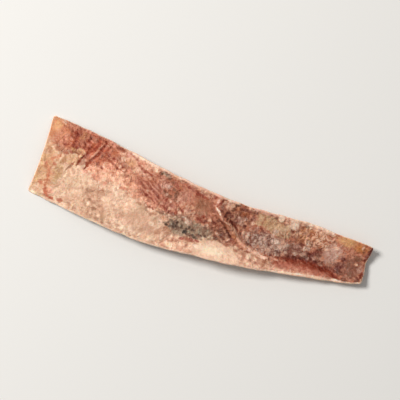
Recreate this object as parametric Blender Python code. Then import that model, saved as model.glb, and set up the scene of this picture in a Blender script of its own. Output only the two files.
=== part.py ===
"""A dried cuttlefish strip: a ribbon cut with a knife across the mantle, lying skin side up.

Units are metres, +Z up. The strip runs along X, from its wide end at -X to its narrow end at +X.
Its origin is on the floor, in the middle of its bounding box.
Places on it are given along the cut's straight middle line, from the wide end, and across it towards +Y.
"""

import bmesh
import bpy
import numpy as np
from mathutils import Vector, noise

MM = 0.001

# Driving dimensions of the cut ribbon
LENGTH = 103.2 * MM
THICKNESS = 1.5 * MM
EDGE_THICKNESS = 0.85 * MM
CELL_LENGTH = 1.02 * MM
CELLS_ACROSS = 25

# Both long edges: place along the strip, then the place across of the front edge and of the back edge
OUTLINE = [
    (0.0 * MM, -12.2 * MM, 12.3 * MM),
    (12.0 * MM, -13.55 * MM, 11.25 * MM),
    (25.0 * MM, -14.75 * MM, 9.45 * MM),
    (38.5 * MM, -15.4 * MM, 7.3 * MM),
    (52.0 * MM, -14.2 * MM, 5.85 * MM),
    (65.0 * MM, -12.95 * MM, 5.45 * MM),
    (82.0 * MM, -10.15 * MM, 6.5 * MM),
    (94.0 * MM, -8.05 * MM, 6.3 * MM),
    (LENGTH, -6.1 * MM, 5.9 * MM),
]
CORNER_RADIUS = 0.8 * MM
END_REACH = 1.6 * MM
EDGE_NICK = 0.22 * MM
EDGE_NICK_LENGTH = 3.2 * MM
WIDE_END_BOW = 0.8 * MM
WIDE_END_FLARE = 1.0 * MM
TIP_NOTCH_DEPTH = 0.5 * MM
TIP_NOTCH_WIDTH = 1.8 * MM
TIP_NOTCH_ACROSS = 0.6 * MM

# The skin dries smaller than the flesh, so the cut edges lean out below it
SKIN_PULL = 0.28 * MM
SKIN_PULL_AT_LIP = 0.35 * MM
SKIN_PULL_AT_TIP = 0.45 * MM

# Height of the middle line: an arch from the wide end down to the tip, which turns up a little
SPINE = [
    (0.0 * MM, 2.7 * MM),
    (20.0 * MM, 4.3 * MM),
    (40.0 * MM, 4.7 * MM),
    (62.0 * MM, 3.0 * MM),
    (82.0 * MM, 0.7 * MM),
    (94.0 * MM, 0.2 * MM),
    (LENGTH, 1.3 * MM),
]
# How far the long edges rise above the middle line: domed at the wide end, a trough at the tip
EDGE_RISE = [
    (0.0 * MM, -2.6 * MM),
    (22.0 * MM, -1.6 * MM),
    (45.0 * MM, -0.2 * MM),
    (70.0 * MM, 0.9 * MM),
    (LENGTH, 1.5 * MM),
]
# Sideways slope of the strip, as it twists along its length
TWIST = [
    (0.0 * MM, 0.03),
    (45.0 * MM, -0.05),
    (LENGTH, 0.06),
]
# Turns that set the whole strip down on its three lowest places
SETTLE_PITCH = 0.0007
SETTLE_ROLL = -0.026
FLAT_SPOT_DEPTH = 0.22 * MM

# The front border is folded up along this crease: place along, place across
LIP_START = 44.0 * MM
LIP_FADE = 12.0 * MM
LIP_CREASE = [
    (LIP_START, -12.6 * MM),
    (50.0 * MM, -10.4 * MM),
    (58.0 * MM, -9.1 * MM),
    (68.0 * MM, -7.8 * MM),
    (76.0 * MM, -7.0 * MM),
    (83.0 * MM, -5.4 * MM),
    (90.0 * MM, -4.9 * MM),
    (96.0 * MM, -6.0 * MM),
    (LENGTH, -6.0 * MM),
]
LIP_SLOPE = 0.42
LIP_FOLD_RADIUS = 0.7 * MM

# The back edge is rolled up in a low rim
RIM_HEIGHT = 0.75 * MM
RIM_WIDTH = 1.5 * MM
RIM_START = 20.0 * MM
RIM_FADE = 14.0 * MM

# A pinched fold of skin runs slantwise over the middle: place along, place across
PINCH = [
    (54.8 * MM, 5.3 * MM),
    (55.8 * MM, 1.6 * MM),
    (57.6 * MM, -0.6 * MM),
    (60.6 * MM, -2.8 * MM),
    (64.0 * MM, -5.0 * MM),
    (67.0 * MM, -6.9 * MM),
    (71.0 * MM, -7.8 * MM),
]
PINCH_HEIGHT = 0.75 * MM
PINCH_WIDTH = 1.15 * MM

# Gathers: short parallel folds near the back edge of the wide end
GATHER_ALONG = 14.7 * MM
GATHER_ACROSS = 5.6 * MM
GATHER_LEAN = 0.42
GATHER_SPACING = 2.5 * MM
GATHER_REACH_ALONG = 3.6 * MM
GATHER_REACH_ACROSS = 5.0 * MM
GATHER_HEIGHT = 0.30 * MM

# Crumpling of the dried ribbon: wavelength and height of each scale
CRUMPLE = [
    (15.0 * MM, 0.60 * MM),
    (6.0 * MM, 0.34 * MM),
    (3.0 * MM, 0.20 * MM),
]
UNDERSIDE_CRUMPLE = 0.12 * MM
UNDERSIDE_WAVELENGTH = 5.0 * MM

SKIN_COLOUR = (0.49, 0.25, 0.16, 1.0)
SKIN_ROUGHNESS = 0.62


def smooth_curve(stations, column, at):
    """Values at the places `at` on the smooth curve through one column of the stations."""
    place = np.array([row[0] for row in stations])
    value = np.array([row[column] for row in stations])
    chord = np.diff(value) / np.diff(place)
    slope = np.concatenate([chord[:1], (chord[:-1] + chord[1:]) / 2, chord[-1:]])
    at = np.clip(at, place[0], place[-1])
    piece = np.clip(np.searchsorted(place, at, side="right") - 1, 0, len(place) - 2)
    step = place[piece + 1] - place[piece]
    s = (at - place[piece]) / step
    return (
        value[piece] * (1 + 2 * s) * (1 - s) ** 2
        + slope[piece] * step * s * (1 - s) ** 2
        + value[piece + 1] * s**2 * (3 - 2 * s)
        + slope[piece + 1] * step * s**2 * (s - 1)
    )


def ripple(along, across, wavelength, layer):
    """Smooth noise from -1 to 1 over the strip. Each layer number gives another pattern."""
    places = zip(np.ravel(along) / wavelength, np.ravel(across) / wavelength)
    values = [noise.noise(Vector((x, y, 7.3 * layer))) for x, y in places]
    return np.array(values).reshape(np.shape(along))


def bump(distance, width):
    """A bell of height 1 that fades out over `width`."""
    return np.exp(-((distance / width) ** 2))


def soft_step(value):
    """0 below 0, 1 above 1, and smooth between them."""
    value = np.clip(value, 0, 1)
    return value * value * (3 - 2 * value)


def edges(along):
    """Place across of the front edge and the back edge, with the small nicks of a dried cut."""
    front = smooth_curve(OUTLINE, 1, along)
    back = smooth_curve(OUTLINE, 2, along)
    front += EDGE_NICK * ripple(along, 0 * along, EDGE_NICK_LENGTH, 1)
    back += EDGE_NICK * ripple(along, 0 * along, EDGE_NICK_LENGTH, 2)
    return front, back


def plan(u, v, under):
    """Places along and across for u from 0 to 1 down the length and v from -1 to 1 over the width."""
    on_skin = np.where(under, 0.0, 1.0)
    along = u * LENGTH
    front, back = edges(along)
    back = back - on_skin * SKIN_PULL
    front = front + on_skin * (SKIN_PULL + SKIN_PULL_AT_LIP * soft_step((along - LIP_START) / LIP_FADE))
    half = (back - front) / 2
    across = (back + front) / 2 + v * half
    # The corners are round, so both ends draw in near the long edges.
    into_corner = np.clip(1 - (1 - np.abs(v)) * half / CORNER_RADIUS, 0, 1)
    drawn_in = CORNER_RADIUS * (1 - np.sqrt(1 - into_corner**2))
    bow = WIDE_END_BOW * (1 - v**2) + on_skin * SKIN_PULL
    notch = TIP_NOTCH_DEPTH * bump(across - TIP_NOTCH_ACROSS, TIP_NOTCH_WIDTH) + on_skin * SKIN_PULL_AT_TIP
    at_wide_end = bump(along, END_REACH)
    at_tip = bump(LENGTH - along, END_REACH)
    return along + (drawn_in + bow - WIDE_END_FLARE) * at_wide_end - (drawn_in + notch) * at_tip, across


def distance_to_pinch(along, across):
    """Distance to the pinched fold's line, and how far down that line the nearest point is, 0 to 1."""
    line = np.array(PINCH)
    nearest = np.full(np.shape(along), np.inf)
    share = np.zeros(np.shape(along))
    for number, (start, end) in enumerate(zip(line[:-1], line[1:])):
        run = end - start
        t = ((along - start[0]) * run[0] + (across - start[1]) * run[1]) / (run @ run)
        t = np.clip(t, 0, 1)
        away = np.hypot(along - start[0] - t * run[0], across - start[1] - t * run[1])
        closer = away < nearest
        share = np.where(closer, (number + t) / (len(line) - 1), share)
        nearest = np.where(closer, away, nearest)
    return nearest, share


def fold_relief(along, across, back):
    """Height that the lip, the rim, the pinched fold and the gathers add."""
    below_crease = smooth_curve(LIP_CREASE, 1, along) - across
    lip = LIP_SLOPE * (below_crease + np.hypot(below_crease, LIP_FOLD_RADIUS)) / 2
    lip *= soft_step((along - LIP_START) / LIP_FADE)
    rim = RIM_HEIGHT * bump(back - across, RIM_WIDTH) * soft_step((along - RIM_START) / RIM_FADE)
    away, share = distance_to_pinch(along, across)
    pinch = PINCH_HEIGHT * bump(away, PINCH_WIDTH) * np.sin(np.pi * (0.15 + 0.8 * share))
    leaned = along - GATHER_ALONG - GATHER_LEAN * (across - GATHER_ACROSS)
    patch = bump(leaned, GATHER_REACH_ALONG) * bump(across - GATHER_ACROSS, GATHER_REACH_ACROSS)
    gathers = GATHER_HEIGHT * np.cos(2 * np.pi * leaned / GATHER_SPACING) * patch
    return lip + rim + pinch + gathers


def middle_height(along, across):
    """Height of the ribbon's middle layer."""
    front, back = edges(along)
    half = (back - front) / 2
    offset = across - (back + front) / 2
    height = smooth_curve(SPINE, 1, along)
    height += smooth_curve(EDGE_RISE, 1, along) * (offset / half) ** 2
    height += smooth_curve(TWIST, 1, along) * offset
    height += fold_relief(along, across, back)
    for layer, (wavelength, size) in enumerate(CRUMPLE, start=3):
        height += size * ripple(along, across, wavelength, layer)
    return height + SETTLE_PITCH * along + SETTLE_ROLL * across


def thickness(u, v):
    """Full in the middle, thinner towards every edge."""
    from_side = 1 - np.abs(v)
    from_end = np.minimum(u, 1 - u) * 8
    full = soft_step(np.minimum(from_side * 3, from_end * 3))
    return EDGE_THICKNESS + (THICKNESS - EDGE_THICKNESS) * full


def ribbon_points(u, v, under):
    """Points of the skin face, or of the flesh face where `under` is true."""
    along, across = plan(u, v, under)
    below = UNDERSIDE_CRUMPLE * ripple(along, across, UNDERSIDE_WAVELENGTH, 9)
    height = middle_height(along, across)
    height += np.where(under, below - thickness(u, v) / 2, thickness(u, v) / 2)
    return np.stack([along, across, height], axis=1)


def set_down(points):
    """Moves the points so that the box's floor centre is the origin, with small flat spots to rest on."""
    low, high = points.min(axis=0), points.max(axis=0)
    points[:, :2] -= (low[:2] + high[:2]) / 2
    points[:, 2] -= low[2] + FLAT_SPOT_DEPTH
    points[:, 2] = np.maximum(points[:, 2], 0)
    return points


def make_ribbon(mesh):
    """One closed sheet: a grid for the skin face, and its extrusion for the flesh face and the cut edges."""
    sheet = bmesh.new()
    bmesh.ops.create_grid(
        sheet,
        x_segments=round(LENGTH / CELL_LENGTH),
        y_segments=CELLS_ACROSS,
        size=1,
    )
    bmesh.ops.triangulate(sheet, faces=sheet.faces, quad_method="FIXED")
    skin = list(sheet.faces)
    made = bmesh.ops.extrude_face_region(sheet, geom=skin, use_keep_orig=True)
    flesh = {item for item in made["geom"] if isinstance(item, bmesh.types.BMVert)}
    bmesh.ops.reverse_faces(sheet, faces=[f for f in sheet.faces if all(p in flesh for p in f.verts)])
    corners = list(sheet.verts)
    u = np.array([(corner.co.x + 1) / 2 for corner in corners])
    v = np.array([corner.co.y for corner in corners])
    under = np.array([corner in flesh for corner in corners])
    for corner, point in zip(corners, set_down(ribbon_points(u, v, under))):
        corner.co = point
    bmesh.ops.recalc_face_normals(sheet, faces=sheet.faces)
    sheet.to_mesh(mesh)
    sheet.free()


def skin_material():
    material = bpy.data.materials.new("dried_skin")
    material.use_nodes = True
    shader = material.node_tree.nodes["Principled BSDF"]
    shader.inputs["Base Color"].default_value = SKIN_COLOUR
    shader.inputs["Roughness"].default_value = SKIN_ROUGHNESS
    shader.inputs["Metallic"].default_value = 0.0
    return material


def clear_scene():
    for item in list(bpy.data.objects):
        bpy.data.objects.remove(item, do_unlink=True)


def main():
    clear_scene()
    mesh = bpy.data.meshes.new("cuttlefish_strip")
    make_ribbon(mesh)
    mesh.materials.append(skin_material())
    mesh.shade_smooth()
    strip = bpy.data.objects.new("cuttlefish_strip", mesh)
    bpy.context.scene.collection.objects.link(strip)


main()
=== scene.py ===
"""Looks of the dried cuttlefish strip: its crinkled skin, pale flesh and knife-cut edges, on a pale floor."""

import math
from functools import reduce

import bpy
import numpy as np
from mathutils import Euler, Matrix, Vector, noise


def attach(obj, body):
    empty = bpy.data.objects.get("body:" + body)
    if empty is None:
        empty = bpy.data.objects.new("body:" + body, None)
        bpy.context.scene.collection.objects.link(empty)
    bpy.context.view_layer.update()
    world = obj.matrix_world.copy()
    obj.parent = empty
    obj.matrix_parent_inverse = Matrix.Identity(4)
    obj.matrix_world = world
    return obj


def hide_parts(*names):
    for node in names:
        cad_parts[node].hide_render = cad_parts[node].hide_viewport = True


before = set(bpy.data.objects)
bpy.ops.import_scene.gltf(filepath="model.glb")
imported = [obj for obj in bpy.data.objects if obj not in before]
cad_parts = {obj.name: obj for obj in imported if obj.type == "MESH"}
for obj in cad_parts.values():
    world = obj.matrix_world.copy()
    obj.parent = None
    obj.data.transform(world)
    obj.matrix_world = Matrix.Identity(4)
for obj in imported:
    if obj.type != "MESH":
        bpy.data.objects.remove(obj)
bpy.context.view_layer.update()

MM = 0.001


def in_mm(*rows):
    """Rows of millimetres in metres."""
    return [tuple(value * MM for value in row) for row in rows]


# Sizes of the cut ribbon, as the solid has them. Each row starts with its place along the strip.
LENGTH = 103.2 * MM
THICKNESS = 1.5 * MM
EDGE_THICKNESS = 0.85 * MM
THICKENS_ACROSS = 3  # full thickness a third of the way in from a long edge
THICKENS_ALONG = 24  # and one part in 24 of the length in from an end
OUTLINE = in_mm(  # the front edge and the back edge
    (0, -12.2, 12.3), (12, -13.55, 11.25), (25, -14.75, 9.45), (38.5, -15.4, 7.3), (52, -14.2, 5.85),
    (65, -12.95, 5.45), (82, -10.15, 6.5), (94, -8.05, 6.3), (103.2, -6.1, 5.9),
)
CORNER_RADIUS = 0.8 * MM
END_REACH = 1.6 * MM
EDGE_NICK = 0.22 * MM
EDGE_NICK_LENGTH = 3.2 * MM
WIDE_END_BOW = 0.8 * MM
WIDE_END_FLARE = 1.0 * MM
TIP_NOTCH_DEPTH = 0.5 * MM
TIP_NOTCH_WIDTH = 1.8 * MM
TIP_NOTCH_ACROSS = 0.6 * MM
SKIN_PULL = 0.28 * MM
SKIN_PULL_AT_LIP = 0.35 * MM
SKIN_PULL_AT_TIP = 0.45 * MM
SPINE = in_mm((0, 2.7), (20, 4.3), (40, 4.7), (62, 3), (82, 0.7), (94, 0.2), (103.2, 1.3))
EDGE_RISE = in_mm((0, -2.6), (22, -1.6), (45, -0.2), (70, 0.9), (103.2, 1.5))
TWIST = [(0, 0.03), (45 * MM, -0.05), (LENGTH, 0.06)]
SETTLE_PITCH = 0.0007
SETTLE_ROLL = -0.026
FLAT_SPOT_DEPTH = 0.22 * MM
LIP_START = 44.0 * MM
LIP_FADE = 12.0 * MM
LIP_CREASE = in_mm(
    (44, -12.6), (50, -10.4), (58, -9.1), (68, -7.8), (76, -7), (83, -5.4), (90, -4.9), (96, -6), (103.2, -6)
)
LIP_SLOPE = 0.42
LIP_FOLD_RADIUS = 0.7 * MM
RIM_HEIGHT = 0.75 * MM
RIM_WIDTH = 1.5 * MM
RIM_START = 20.0 * MM
RIM_FADE = 14.0 * MM
PINCH = in_mm((54.8, 5.3), (55.8, 1.6), (57.6, -0.6), (60.6, -2.8), (64, -5), (67, -6.9), (71, -7.8))
PINCH_HEIGHT = 0.75 * MM
PINCH_WIDTH = 1.15 * MM
GATHER_ALONG = 14.7 * MM
GATHER_ACROSS = 5.6 * MM
GATHER_LEAN = 0.42
GATHER_SPACING = 2.5 * MM
GATHER_REACH_ALONG = 3.6 * MM
GATHER_REACH_ACROSS = 5.0 * MM
GATHER_HEIGHT = 0.20 * MM
CRUMPLE = in_mm((15, 0.6), (6, 0.34), (3, 0.2))  # wavelengths and heights
UNDERSIDE_CRUMPLE = 0.12 * MM
UNDERSIDE_WAVELENGTH = 5.0 * MM

# Fineness of the dressed ribbon
CELLS_ALONG = 440
CELLS_ACROSS = 96
CUT_ROWS = 4
CUT_BULGE = 0.08 * MM
LAYER_STEP = 7.3  # how far apart the layers of ripple() lie in its noise


def smooth_curve(stations, column, at):
    """Values at the places `at` on the smooth curve through one column of the stations."""
    place = np.array([row[0] for row in stations])
    value = np.array([row[column] for row in stations])
    chord = np.diff(value) / np.diff(place)
    slope = np.concatenate([chord[:1], (chord[:-1] + chord[1:]) / 2, chord[-1:]])
    at = np.clip(at, place[0], place[-1])
    piece = np.clip(np.searchsorted(place, at, side="right") - 1, 0, len(place) - 2)
    step = place[piece + 1] - place[piece]
    s = (at - place[piece]) / step
    return (
        value[piece] * (1 + 2 * s) * (1 - s) ** 2
        + slope[piece] * step * s * (1 - s) ** 2
        + value[piece + 1] * s**2 * (3 - 2 * s)
        + slope[piece + 1] * step * s**2 * (s - 1)
    )


def ripple(along, across, wavelength, layer):
    """Smooth noise from -1 to 1 over the strip. Each layer number gives another pattern."""
    places = zip(np.ravel(along) / wavelength, np.ravel(across) / wavelength)
    values = [noise.noise(Vector((x, y, LAYER_STEP * layer))) for x, y in places]
    return np.array(values).reshape(np.shape(along))


def bump(distance, width):
    """A bell of height 1 that fades out over `width`."""
    return np.exp(-((distance / width) ** 2))


def soft_step(value):
    """0 below 0, 1 above 1, and smooth between them."""
    value = np.clip(value, 0, 1)
    return value * value * (3 - 2 * value)


def edges(along):
    """Place across of the front edge and the back edge, with the small nicks of a dried cut."""
    front = smooth_curve(OUTLINE, 1, along)
    back = smooth_curve(OUTLINE, 2, along)
    front += EDGE_NICK * ripple(along, 0 * along, EDGE_NICK_LENGTH, 1)
    back += EDGE_NICK * ripple(along, 0 * along, EDGE_NICK_LENGTH, 2)
    return front, back


def plan(u, v, under):
    """Places along and across for u from 0 to 1 down the length and v from -1 to 1 over the width."""
    on_skin = 1.0 - under
    along = u * LENGTH
    front, back = edges(along)
    back = back - on_skin * SKIN_PULL
    front = front + on_skin * (SKIN_PULL + SKIN_PULL_AT_LIP * soft_step((along - LIP_START) / LIP_FADE))
    half = (back - front) / 2
    across = (back + front) / 2 + v * half
    # The corners are round, so both ends draw in near the long edges.
    into_corner = np.clip(1 - (1 - np.abs(v)) * half / CORNER_RADIUS, 0, 1)
    drawn_in = CORNER_RADIUS * (1 - np.sqrt(1 - into_corner**2))
    bow = WIDE_END_BOW * (1 - v**2) + on_skin * SKIN_PULL
    notch = TIP_NOTCH_DEPTH * bump(across - TIP_NOTCH_ACROSS, TIP_NOTCH_WIDTH) + on_skin * SKIN_PULL_AT_TIP
    at_wide_end = bump(along, END_REACH)
    at_tip = bump(LENGTH - along, END_REACH)
    return along + (drawn_in + bow - WIDE_END_FLARE) * at_wide_end - (drawn_in + notch) * at_tip, across


def distance_to_line(points, along, across):
    """Distance to a line of points, and how far down that line the nearest place is, 0 to 1."""
    points = np.array(points)
    nearest = np.full(np.shape(along), np.inf)
    share = np.zeros(np.shape(along))
    for number, (start, end) in enumerate(zip(points[:-1], points[1:])):
        run = end - start
        t = ((along - start[0]) * run[0] + (across - start[1]) * run[1]) / (run @ run)
        t = np.clip(t, 0, 1)
        away = np.hypot(along - start[0] - t * run[0], across - start[1] - t * run[1])
        closer = away < nearest
        share = np.where(closer, (number + t) / (len(points) - 1), share)
        nearest = np.where(closer, away, nearest)
    return nearest, share


def fold_relief(along, across, back):
    """Height that the lip, the rim, the pinched fold and the gathers add."""
    below_crease = smooth_curve(LIP_CREASE, 1, along) - across
    lip = LIP_SLOPE * (below_crease + np.hypot(below_crease, LIP_FOLD_RADIUS)) / 2
    lip *= soft_step((along - LIP_START) / LIP_FADE)
    rolled = RIM_HEIGHT * bump(back - across, RIM_WIDTH) * soft_step((along - RIM_START) / RIM_FADE)
    away, share = distance_to_line(PINCH, along, across)
    pinch = PINCH_HEIGHT * bump(away, PINCH_WIDTH) * np.sin(np.pi * (0.15 + 0.8 * share))
    leaned = along - GATHER_ALONG - GATHER_LEAN * (across - GATHER_ACROSS)
    reach = bump(leaned, GATHER_REACH_ALONG) * bump(across - GATHER_ACROSS, GATHER_REACH_ACROSS)
    gathers = GATHER_HEIGHT * np.cos(2 * np.pi * leaned / GATHER_SPACING) * reach
    return lip + rolled + pinch + gathers


def middle_height(along, across):
    """Height of the ribbon's middle layer."""
    front, back = edges(along)
    half = (back - front) / 2
    offset = across - (back + front) / 2
    height = smooth_curve(SPINE, 1, along)
    height += smooth_curve(EDGE_RISE, 1, along) * (offset / half) ** 2
    height += smooth_curve(TWIST, 1, along) * offset
    height += fold_relief(along, across, back)
    for layer, (wavelength, size) in enumerate(CRUMPLE, start=3):
        height += size * ripple(along, across, wavelength, layer)
    return height + SETTLE_PITCH * along + SETTLE_ROLL * across


def thickness(u, v):
    """Full in the middle, thinner towards every edge."""
    from_side = (1 - np.abs(v)) * THICKENS_ACROSS
    from_end = np.minimum(u, 1 - u) * THICKENS_ALONG
    full = soft_step(np.minimum(from_side, from_end))
    return EDGE_THICKNESS + (THICKNESS - EDGE_THICKNESS) * full


def face_points(u, v, under):
    """Points of the skin face (under 0) or of the flesh face (under 1): along, across, height."""
    along, across = plan(u, v, under)
    below = UNDERSIDE_CRUMPLE * ripple(along, across, UNDERSIDE_WAVELENGTH, 9)
    height = middle_height(along, across)
    height += below - thickness(u, v) / 2 if under else thickness(u, v) / 2
    return np.stack([along, across, height], axis=-1)


def border_walk():
    """Grid places round the border, anticlockwise from the front corner of the wide end."""
    last_u, last_v = CELLS_ALONG, CELLS_ACROSS
    walk = [(i, 0) for i in range(last_u)]
    walk += [(last_u, j) for j in range(last_v)]
    walk += [(i, last_v) for i in range(last_u, 0, -1)]
    walk += [(0, j) for j in range(last_v, 0, -1)]
    return np.array(walk)


def ribbon_shape():
    """Points, quads, and for each point how deep in the cut face it lies: 0 at the skin and 1 at the flesh."""
    u, v = np.meshgrid(np.linspace(0, 1, CELLS_ALONG + 1), np.linspace(-1, 1, CELLS_ACROSS + 1), indexing="ij")
    skin = face_points(u, v, 0)
    flesh = face_points(u, v, 1)
    walk = border_walk()
    top = skin[walk[:, 0], walk[:, 1]]
    bottom = flesh[walk[:, 0], walk[:, 1]]
    out = np.roll(top[:, :2], -1, axis=0) - np.roll(top[:, :2], 1, axis=0)
    out = np.stack([out[:, 1], -out[:, 0]], axis=1)
    out /= np.linalg.norm(out, axis=1, keepdims=True)
    rows = []
    for row in range(1, CUT_ROWS):
        w = row / CUT_ROWS
        points = top * (1 - w) + bottom * w
        points[:, :2] += out * CUT_BULGE * math.sin(math.pi * w)
        rows.append(points)
    points = np.concatenate([skin.reshape(-1, 3), flesh.reshape(-1, 3), *rows])
    grid = np.arange(skin.shape[0] * skin.shape[1]).reshape(skin.shape[:2])
    face = np.stack([grid[:-1, :-1], grid[1:, :-1], grid[1:, 1:], grid[:-1, 1:]], axis=-1).reshape(-1, 4)
    count = grid.size
    first_row = grid[walk[:, 0], walk[:, 1]]
    loops = [first_row]
    loops += [2 * count + row * len(walk) + np.arange(len(walk)) for row in range(CUT_ROWS - 1)]
    loops += [count + first_row]
    quads = [face, face[:, ::-1] + count]
    for upper, lower in zip(loops[:-1], loops[1:]):
        quads.append(np.stack([upper, lower, np.roll(lower, -1), np.roll(upper, -1)], axis=1))
    depth = np.concatenate([np.zeros(count), np.ones(count)])
    depth = np.concatenate([depth] + [np.full(len(walk), row / CUT_ROWS) for row in range(1, CUT_ROWS)])
    return points, np.concatenate(quads), depth


def edge_distance(along, across):
    """Distance to the nearest cut edge."""
    front, back = edges(along)
    return np.minimum(np.minimum(across - front, back - across), np.minimum(along, LENGTH - along))


def box_middle(points):
    """Where the middle of the strip's box is, along and across."""
    return (points.min(axis=0)[:2] + points.max(axis=0)[:2]) / 2


def set_down(points):
    """Moves the points into the solid's place: the box's floor centre is the origin."""
    points = points.copy()
    points[:, :2] -= box_middle(points)
    points[:, 2] -= points[:, 2].min() + FLAT_SPOT_DEPTH
    points[:, 2] = np.maximum(points[:, 2], 0)
    return points


# Fields, stains and lines of the skin, each over the ones before it. Places and sizes are in tenths of a millimetre
# along and across the strip, turns in degrees, and colours are as seen, 0 to 255. "cover" is how much of what lies
# below a mark hides, "ragged" how broken its border is and "soft" how wide that border is. "busy" is how mottled
# and crinkled the skin is there, "dots" how many dark pigment dots it has, "lift" how far a line stands up, in
# millimetres, and a "still" mark keeps to its drawn place. "creased", "flakes", "beads", "streaks" and "cobbles" say
# how much of those patterns the skin has there.


def patch(along, across, half_along, half_across, turn, seen, cover=0.8, ragged=0.8, soft=0.9, **more):
    """An oval, turned by some degrees."""
    centre, half = np.array([along, across]) / 10, np.array([half_along, half_across]) / 10
    return dict(centre=centre, half=half, turn=turn, seen=seen, cover=cover, ragged=ragged, soft=soft, **more)


def spots(places, seen, cover=0.8, ragged=0.6, soft=0.9, **more):
    """Small round marks of one colour, each with its middle and then its radius or its two half sizes."""
    places = [np.array(place) / 10 for place in places]
    return dict(places=places, seen=seen, cover=cover, ragged=ragged, soft=soft, **more)


def lines(paths, width, seen, cover=0.8, ragged=0.6, soft=0.7, **more):
    paths = [np.array(path) / 10 for path in paths]
    return dict(paths=paths, width=width / 10, seen=seen, cover=cover, ragged=ragged, soft=soft, **more)


def line(points, *settings, **more):
    return lines([points], *settings, **more)


def band(low, high, seen, cover=0.85, ragged=0.9, soft=1.4, **more):
    """Everything between a lower and an upper line."""
    low, high = np.array(low) / 10, np.array(high) / 10
    return dict(low=low, high=high, seen=seen, cover=cover, ragged=ragged, soft=soft, **more)


def rim(side, start, end, width, seen, cover=0.85, ragged=0.6, soft=0.8, **more):
    """A stretch of the front edge or the back edge."""
    start, end, width = start / 10, end / 10, width / 10
    return dict(side=side, start=start, end=end, width=width, seen=seen, cover=cover, ragged=ragged, soft=soft, **more)


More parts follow.
